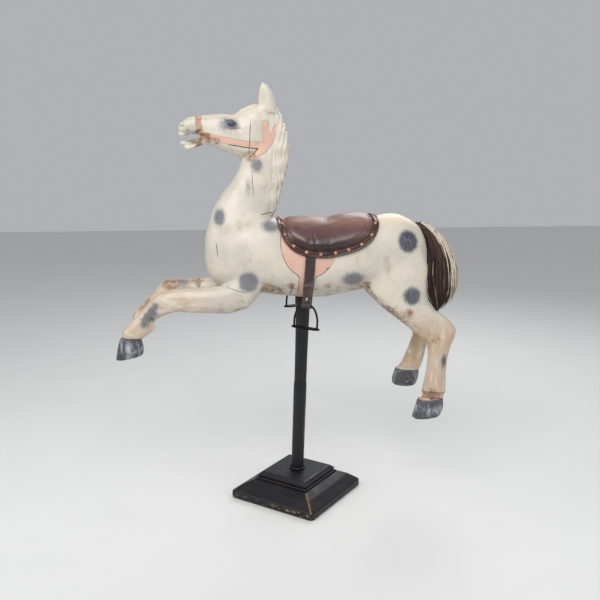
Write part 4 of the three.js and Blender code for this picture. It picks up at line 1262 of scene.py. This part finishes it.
def dome_nail():
    """One domed nail head with a thin turned rim."""
    bpy.ops.object.select_all(action="DESELECT")
    bpy.ops.mesh.primitive_uv_sphere_add(segments=20, ring_count=12, radius=0.007, location=(0, 0, 0))
    nail = bpy.context.active_object
    bpy.ops.object.mode_set(mode="EDIT")
    bpy.ops.mesh.select_all(action="SELECT")
    bpy.ops.mesh.bisect(plane_co=(0, 0, 0), plane_no=(0, 0, 1), clear_inner=True, use_fill=True)
    bpy.ops.mesh.select_all(action="SELECT")
    bpy.ops.transform.resize(value=(1, 1, 0.62))
    bpy.ops.object.mode_set(mode="OBJECT")
    round_edges(nail, 0.0005, 2, 50)
    smooth_shaded(nail, math.radians(60))
    return nail


# ---- stirrups ----
class CAROUSEL_OT_stirrups(bpy.types.Operator):
    """Make the stirrup leathers, rivets and irons"""

    bl_idname = "carousel.stirrups"
    bl_label = "Stirrups"

    def execute(self, context):
        values = settings("tack")
        strap_finish = leather("Strap Leather", tuple(values.strap), tuple(values.worn), 360.0, 0.55)
        iron_finish = hammered_metal("Black Iron", tuple(values.iron), tuple(values.strap), 0.35)
        rivet_finish = hammered_metal("Rivet Steel", tuple(values.rivet), tuple(values.strap), 0.35)
        for side in ("left", "right"):
            strap = copy_of("stirrup_strap_" + side, "stirrup_leather_" + side)
            round_edges(strap, values.bevel, 2, 40)
            only(strap)
            bpy.ops.object.mode_set(mode="EDIT")
            bpy.ops.mesh.select_all(action="SELECT")
            bpy.ops.mesh.subdivide(number_cuts=3)
            bpy.ops.object.mode_set(mode="OBJECT")
            co = points_of(strap)
            # the strap bends in an even curve, and its end is tucked under the trim
            levels = np.linspace(co[:, 2].min(), co[:, 2].max(), 60)
            middle = np.array([co[np.abs(co[:, 2] - level) < 0.012, 1].mean() for level in levels])
            even = np.convolve(np.pad(middle, 5, mode="edge"), np.ones(11) / 11, mode="valid")
            ends = np.minimum(1, np.minimum(np.arange(60), np.arange(60)[::-1]) / 12)
            co[:, 1] += np.interp(co[:, 2], levels, (even - middle) * ends)
            tuck = ease(-0.012, -0.001, co[:, 2] - co[:, 2].max())
            co[:, 2] += 0.009 * tuck
            set_points(strap, co)
            smooth_shaded(strap, math.radians(40))
            write_field(strap, "bend", 0.5 * bend_of(strap, 3))
            settle(strap, strap_finish, "strap_leather", "stirrup_strap_" + side)
            iron = copy_of("stirrup_iron_" + side, "stirrup_bow_" + side)
            round_edges(iron, 0.0008, 2, 50)
            smooth_shaded(iron, math.radians(70))
            settle(iron, iron_finish, "stirrup_iron", "stirrup_iron_" + side)
            rivet = copy_of("strap_rivet_" + side, "rivet_head_" + side)
            round_edges(rivet, 0.0006, 3, 20)
            smooth_shaded(rivet)
            settle(rivet, rivet_finish, "rivet_steel", "strap_rivet_" + side)
        return {"FINISHED"}


# ---- tail ----
# The tail's middle line from its root down: x, z, half thickness towards the back, half width, in millimetres.
TAIL_LINE = (
    (451, 1042, 13, 10),
    (469, 1028, 19, 17),
    (500, 996, 30, 23),
    (522, 953, 45, 27),
    (537, 902, 58, 30),
    (544, 852, 67, 30),
    (547, 803, 67, 29),
    (546, 761, 55, 26),
    (542, 727, 30, 19),
    (544, 708, 12, 9),
)


def hair_finish():
    values = settings("tail")
    material, tree, vector = start_material("Tail Hair")
    tone = field(tree, "tone")
    colour = mix(tree, between(tree, tone, 0.0, 0.45), tuple(values.dark), tuple(values.brown))
    colour = mix(tree, between(tree, tone, 0.5, 0.7), colour, tuple(values.blond))
    streaks = cloud(tree, turned(tree, vector, (1, 1, 0.12)), 500.0, 2.0)
    colour = mix(tree, between(tree, streaks, 0.35, 0.65, 0.0, 0.35), colour, tuple(values.dark))
    end_material(tree, colour, 0.42, streaks, 0.3, 0.0004)
    return material


class CAROUSEL_OT_tail(bpy.types.Operator):
    """Lay the tail's locks of hair over its core"""

    bl_idname = "carousel.tail"
    bl_label = "Hair Tail"

    def execute(self, context):
        values = settings("tail")
        dice = random.Random(7)
        line = np.array(TAIL_LINE, float) * MM
        length = np.concatenate([[0], np.cumsum(np.hypot(*np.diff(line[:, :2], axis=0).T))])
        length /= length[-1]

        def at(t):
            return np.array([np.interp(t, length, line[:, k]) for k in range(4)])

        # the strands gather in locks that sway together
        locks = []
        for k in range(60):
            blond = k % 3 == 0
            u = dice.uniform(0.44, 1.0) if blond else dice.uniform(-1.0, 0.52)
            w = dice.uniform(-1, 1) * math.sqrt(max(0.0, 1 - u * u * 0.8))
            sway, turn, pace = dice.uniform(0.03, 0.10), dice.uniform(0, 6.28), dice.uniform(4, 8)
            locks.append((blond, u, w, sway, turn, pace, dice.uniform(0, 0.14), dice.uniform(-0.1, 0.12)))
        points, faces, tones = [], [], []
        stations = 15
        for _ in range(values.strands):
            blond, lock_u, lock_w, wave, phase, pace, short, paler = locks[dice.randrange(len(locks))]
            u, w = lock_u + dice.gauss(0, 0.09), lock_w + dice.gauss(0, 0.11)
            if not blond:
                u = min(u, 0.56)
            reach = math.hypot(u, w)
            if reach > 1:
                u, w = u / reach, w / reach
            last = dice.uniform(0.80, 0.96) - short if blond else dice.uniform(0.90, 1.0) - 0.4 * short
            first = dice.uniform(0.0, 0.05)
            if not blond and dice.random() < 0.05:
                blond, first, last = True, 0.45, dice.uniform(0.93, 1.0)
            pull = dice.uniform(0.0, 0.2)
            thick = values.thickness * dice.uniform(0.45, 1.2)
            tone = dice.uniform(0.56, 1.0) if blond else max(0.0, dice.uniform(0.0, 0.42) ** 1.2 + paler)
            if blond and dice.random() < 0.22:
                tone = dice.uniform(0.3, 0.5)
            start = len(points)
            for s in range(stations):
                share = s / (stations - 1)
                t = first + (last - first) * share
                x, z, deep, wide = at(t)
                bx, bz, _, _ = at(min(1, t + 0.01))
                ax, az, _, _ = at(max(0, t - 0.01))
                along = np.array([bx - ax, 0, bz - az])
                along /= np.linalg.norm(along)
                back = np.array([-along[2], 0, along[0]])
                spread = 1 - pull * share**2
                uu = (u + wave * math.sin(phase + pace * share)) * spread
                ww = (w + wave * math.cos(phase + pace * share)) * spread
                radius = thick * math.sin(math.pi * min(1, 0.12 + share * 0.88)) ** 0.6
                middle = np.array([x, 0, z]) + back * deep * uu * 0.93 + np.array([0, wide * ww * 0.93, 0])
                for side in range(3):
                    a = side * 2.0944 + 7 * u
                    points.append(middle + radius * (math.cos(a) * back + math.sin(a) * np.array([0, 1, 0])))
                    tones.append(tone)
                if s:
                    base = start + 3 * s
                    for side in range(3):
                        after = (side + 1) % 3
                        faces.append((base - 3 + side, base - 3 + after, base + after, base + side))
            faces.append((start + 2, start + 1, start))
            faces.append((start + 3 * stations - 3, start + 3 * stations - 2, start + 3 * stations - 1))
        low, high = (np.array(corner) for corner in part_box("tail"))
        tail = new_mesh("tail_hair", np.clip(np.array(points), low, high), faces)
        smooth_shaded(tail)
        write_field(tail, "tone", tones)
        finish = hair_finish()
        settle(tail, finish, "horsehair", "tail")
        core = copy_of("tail", "tail_core")
        co = points_of(core)
        nearest = [int(np.argmin(np.hypot(line[:, 0] - p[0], line[:, 1] - p[2]))) for p in co]
        middles = np.array([at(station / (len(line) - 1)) for station in nearest])
        co[:, 1] *= 0.72
        co[:, 0] = middles[:, 0] + (co[:, 0] - middles[:, 0]) * 0.62 - 0.012
        co[:, 2] = middles[:, 1] + (co[:, 2] - middles[:, 1]) * 0.8
        set_points(core, co)
        smooth_shaded(core)
        write_field(core, "tone", np.full(len(co), 0.02))
        settle(core, finish, "horsehair")
        return {"FINISHED"}


# ---- stand ----
def middle_of(node, low, high):
    """The middle of the part of a node between two heights."""
    co = np.array([v.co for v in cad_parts[node].data.vertices])
    part = co[(co[:, 2] >= low) & (co[:, 2] <= high)]
    return (part.max(0) + part.min(0)) / 2


def black_paint(name, wooden):
    values = settings("stand")
    colours = {key: tuple(getattr(values, key)) for key in ("black", "rubbed", "red", "chip", "stone")}
    material, tree, vector = start_material(name)
    brush = use(tree, brush_strokes(), Vector=vector, Scale=130.0)
    blotch = cloud(tree, vector, 18.0, 4.0, 0.6)
    fine = cloud(tree, vector, 75.0, 5.0, 0.7)
    colour = mix(tree, between(tree, blotch, 0.45, 0.75, 0.0, 0.05), colours["black"], colours["rubbed"])
    roughness = between(tree, blotch, 0.3, 0.7, 0.34, 0.52)
    rub = sum_of(tree, "MULTIPLY_ADD", sum_of(tree, "SUBTRACT", fine, 0.5), 1.3)
    tree.links.new(field(tree, "rub"), rub.node.inputs[2])
    rub = between(tree, rub, 0.32, 0.85)
    if wooden:
        height = add(tree, "SeparateXYZ", {0: vector}).outputs[2]
        upper = between(tree, height, 0.070, 0.076)
        bare = mix(tree, upper, colours["rubbed"], colours["red"])
        colour = mix(tree, sum_of(tree, "MULTIPLY", rub, 0.85), colour, bare)
        chips = sum_of(tree, "MULTIPLY", between(tree, field(tree, "chips"), 0.3, 0.8), between(tree, fine, 0.53, 0.62))
        filler = mix(tree, between(tree, field(tree, "along"), 0.60, 0.74), colours["stone"], colours["chip"])
        filler = mix(tree, between(tree, cloud(tree, vector, 160.0, 3.0), 0.42, 0.60), colours["rubbed"], filler)
        colour = mix(tree, sum_of(tree, "MULTIPLY", chips, 0.9), colour, filler)
        dusty = between(tree, cloud(tree, turned(tree, vector, (1.0, 1.0, 3.0)), 90.0, 5.0, 0.75), 0.60, 0.76, 0.0, 0.22)
        colour = mix(tree, dusty, colour, colours["stone"])
        roughness = sum_of(tree, "ADD", roughness, sum_of(tree, "MULTIPLY", rub, 0.2))
    else:
        colour = mix(tree, sum_of(tree, "MULTIPLY", rub, 0.8), colour, colours["rubbed"])
        wear = use(tree, specks(), Vector=turned(tree, vector, (1, 1, 0.35)), Scale=42.0, Amount=0.10, Size=0.36)["Mask"]
        colour = mix(tree, sum_of(tree, "MULTIPLY", wear, 0.3), colour, colours["rubbed"])
    end_material(tree, colour, roughness, brush["Height"], 0.3, 0.0008, Specular_IOR_Level=0.36)
    return material


def to_line(co, start, end):
    """Distance of each point from a straight line between two places."""
    start, end = np.array(start), np.array(end)
    along = end - start
    t = np.clip((co - start) @ along / (along @ along), 0, 1)
    return np.linalg.norm(co - start - t[:, None] * along, axis=1)


def mark_pole(piece):
    """Writes where the black has worn off the pole: a long streak on its right, a faint one on its left."""
    co = points_of(piece)
    low, high = co[:, 2].min(), co[:, 2].max()
    foot, head = middle_of("pole", low, low + 0.01), middle_of("pole", high - 0.03, high)
    share = ((co[:, 2] - low) / (high - low))[:, None]
    off = co - (foot + (head - foot) * share)
    turn = np.arctan2(off[:, 0], -off[:, 1])
    streak = np.exp(-(((turn - 1.0) / 0.22) ** 2)) * ease(0.20, 0.24, co[:, 2]) * (1 - ease(0.35, 0.39, co[:, 2]))
    faint = 0.55 * np.exp(-(((turn + 1.3) / 0.25) ** 2)) * ease(0.25, 0.28, co[:, 2]) * (1 - ease(0.33, 0.36, co[:, 2]))
    return streak + faint


class CAROUSEL_OT_stand(bpy.types.Operator):
    """Finish the pole, its rings and the stepped base"""

    bl_idname = "carousel.stand"
    bl_label = "Pole and Base"

    def execute(self, context):
        values = settings("stand")
        metal = black_paint("Black Pole Paint", False)
        wood = black_paint("Black Base Paint", True)
        for node, name in (("pole", "round_pole"), ("pole_foot_ring", "foot_ring"), ("pole_collar", "pole_collar_ring")):
            piece = copy_of(node, name)
            finish_with(piece, "REMESH", mode="VOXEL", voxel_size=0.0022 if node != "pole" else 0.003)
            co = even_out(points_of(piece), edges_of(piece), 8, 0.5)
            set_points(piece, co)
            smooth_shaded(piece)
            write_field(piece, "rub", mark_pole(piece) if node == "pole" else 0.35 * np.clip(bend_of(piece, 3), 0, 1))
            slot = "trim_leather" if node == "pole_collar" else "pole_paint"
            settle(piece, metal, slot, node)
        for node, name in (("base_plinth", "plinth_block"), ("base_cap", "cap_block")):
            block = copy_of(node, name)
            finish_with(block, "REMESH", mode="VOXEL", voxel_size=values.grid)
            edges = edges_of(block)
            co = even_out(points_of(block), edges, 2, 0.5)
            set_points(block, co)
            normals, plinth = normals_of(block), node == "base_plinth"
            bend = bend_of(block, 5)
            low, high = (np.array(corner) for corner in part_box(node))
            middle = (low + high) / 2
            corners = [co[np.argmin(co @ np.array(way))] for way in ((0, 1, 0), (1, 0, 0), (-1, 0, 0), (0, -1, 0))]
            front, left, right = corners[:3]
            # how far along the side between the left and the front corner, and how near it
            side = (front - left)[:2]
            along = (co[:, :2] - left[:2]) @ side / (side @ side)
            off = np.abs((co[:, 0] - left[0]) * side[1] - (co[:, 1] - left[1]) * side[0]) / np.hypot(*side)
            edge = (1 - ease(0.004, 0.010, off)) * (along > -0.02) * (along < 1.02)
            chips = edge * (1 - ease(0.018, 0.032, co[:, 2] - low[2])) * plinth
            rough = rumple(co, 110, 4)
            dents = ease(0.25, 0.5, rumple(co, 62, 9)) * ease(0.15, 0.5, bend)
            co = co - normals * (0.0009 * dents + 0.0014 * chips * np.abs(rough))[:, None]
            if not plinth:
                for level, deep in ((0.30, 0.0010), (0.48, 0.0014)):
                    groove = np.exp(-(((co[:, 2] - low[2]) / (high[2] - low[2]) - level) / 0.05) ** 2)
                    co = co - normals * (deep * groove * (np.abs(normals[:, 2]) < 0.8))[:, None]
            set_points(block, np.clip(co, low, high))
            smooth_shaded(block, math.radians(60))
            rub = np.zeros(len(co))
            # the plinth's ridges run in from its corners
            for corner, strength in zip(corners, (1.2, 0.8, 0.8, 0.5)):
                way = (corner - middle)[:2] / np.linalg.norm((corner - middle)[:2])
                out, off = (co[:, :2] - middle[:2]) @ way, (co[:, :2] - middle[:2]) @ np.array((-way[1], way[0]))
                sloping = (normals[:, 2] > 0.3) & (normals[:, 2] < 0.97)
                ridge = np.exp(-((off / 0.004) ** 2)) * (out > 0.05) * sloping
                rub = np.maximum(rub, strength * ridge * plinth)
            sharp = np.clip(bend_of(block, 6), 0, 1)
            exposed = 0.45 + 0.25 * edge + 0.35 * (not plinth) * (along < 0.7)
            rub = np.maximum(rub, ease(0.25, 0.8, sharp) * exposed)
            # a rubbed patch on the right slope, beside the front corner
            start, end = ((front + (right - front) * share)[:2] for share in (0.12, 0.34))
            away = to_line(co, (*start, low[2] + 0.045), (*end, low[2] + 0.05))
            rub = np.maximum(rub, 0.8 * np.exp(-((away / 0.012) ** 2)) * plinth)
            write_field(block, "rub", rub)
            write_field(block, "chips", chips)
            write_field(block, "along", along)
            settle(block, wood, "base_paint", node)
        return {"FINISHED"}


# ---- stage ----
class CAROUSEL_OT_stage(bpy.types.Operator):
    """Lay the floor, hang the lights and set the camera"""

    bl_idname = "carousel.stage"
    bl_label = "Stage"

    def execute(self, context):
        values = settings("stage")
        bpy.ops.object.select_all(action="DESELECT")
        bpy.ops.mesh.primitive_plane_add(size=14, location=(0, 2, CAD_BOX[0][2]))
        floor = bpy.context.active_object
        floor.name = "floor"
        material, tree, vector = start_material("Pale Floor")
        mottled = cloud(tree, vector, 3.0, 3.0)
        shade = tuple(0.94 * c for c in values.floor)
        end_material(tree, mix(tree, mottled, tuple(values.floor), shade), 0.7)
        floor.data.materials.append(material)
        for name, place, size, power in (
            ("key", (-1.0, -2.3, 3.1), (3.2, 1.4), 80),
            ("side", (-3.0, -0.6, 1.9), (1.6, 1.6), 16),
            ("fill", (2.6, -2.3, 1.9), (2.0, 2.0), 22),
            ("rim", (1.2, 2.2, 2.8), (2.0, 2.0), 40),
        ):
            light = bpy.data.lights.new(name, "AREA")
            light.shape = "RECTANGLE"
            light.size, light.size_y = size
            light.energy = power
            lamp = bpy.data.objects.new(name, light)
            context.scene.collection.objects.link(lamp)
            lamp.location = place
            lamp.rotation_euler = (Vector((0, 0, 0.85)) - Vector(place)).to_track_quat("-Z", "Y").to_euler()
        world = bpy.data.worlds.new("Soft Room")
        world.use_nodes = True
        world.node_tree.nodes["Background"].inputs[0].default_value = (0.86, 0.88, 0.92, 1)
        world.node_tree.nodes["Background"].inputs[1].default_value = 0.5
        context.scene.world = world
        camera = bpy.data.objects.new("camera", bpy.data.cameras.new("camera"))
        context.scene.collection.objects.link(camera)
        camera.data.lens = values.lens
        camera.data.sensor_width = 36
        camera.location = (-0.251, -values.back, values.height)
        camera.rotation_euler = Vector((0.0938, 0.9744, -0.2045)).to_track_quat("-Z", "Y").to_euler()
        context.scene.camera = camera
        context.scene.view_settings.view_transform = "Standard"
        return {"FINISHED"}


class CAROUSEL_PT_panel(bpy.types.Panel):
    """Steps and settings of the carousel horse"""

    bl_idname = "CAROUSEL_PT_panel"
    bl_label = "Carousel Horse"
    bl_space_type = "VIEW_3D"
    bl_region_type = "UI"
    bl_category = "Carousel Horse"

    def draw(self, context):
        for name, steps in STEPS:
            box = self.layout.box()
            for step in steps:
                box.operator(step.bl_idname)
            group = getattr(context.scene, "carousel_" + name)
            for key in group.__annotations__:
                box.prop(group, key)


GROUPS = (
    ("carving", CAROUSEL_PG_carving),
    ("paints", CAROUSEL_PG_paints),
    ("saddle", CAROUSEL_PG_saddle),
    ("tack", CAROUSEL_PG_tack),
    ("tail", CAROUSEL_PG_tail),
    ("stand", CAROUSEL_PG_stand),
    ("stage", CAROUSEL_PG_stage),
)
STEPS = (
    ("carving", (CAROUSEL_OT_horse,)),
    ("paints", ()),
    ("saddle", (CAROUSEL_OT_saddle, CAROUSEL_OT_trim)),
    ("tack", (CAROUSEL_OT_stirrups,)),
    ("tail", (CAROUSEL_OT_tail,)),
    ("stand", (CAROUSEL_OT_stand,)),
    ("stage", (CAROUSEL_OT_stage,)),
)


def register():
    for name, group in GROUPS:
        bpy.utils.register_class(group)
        setattr(bpy.types.Scene, "carousel_" + name, bpy.props.PointerProperty(type=group))
    for _, steps in STEPS:
        for step in steps:
            bpy.utils.register_class(step)
    bpy.utils.register_class(CAROUSEL_PT_panel)


def unregister():
    bpy.utils.unregister_class(CAROUSEL_PT_panel)
    for _, steps in reversed(STEPS):
        for step in steps:
            bpy.utils.unregister_class(step)
    for name, group in reversed(GROUPS):
        delattr(bpy.types.Scene, "carousel_" + name)
        bpy.utils.unregister_class(group)


def main():
    register()
    bpy.ops.carousel.horse()
    bpy.ops.carousel.saddle()
    bpy.ops.carousel.trim()
    bpy.ops.carousel.stirrups()
    bpy.ops.carousel.tail()
    bpy.ops.carousel.stand()
    bpy.ops.carousel.stage()


if __name__ == "__main__":
    main()
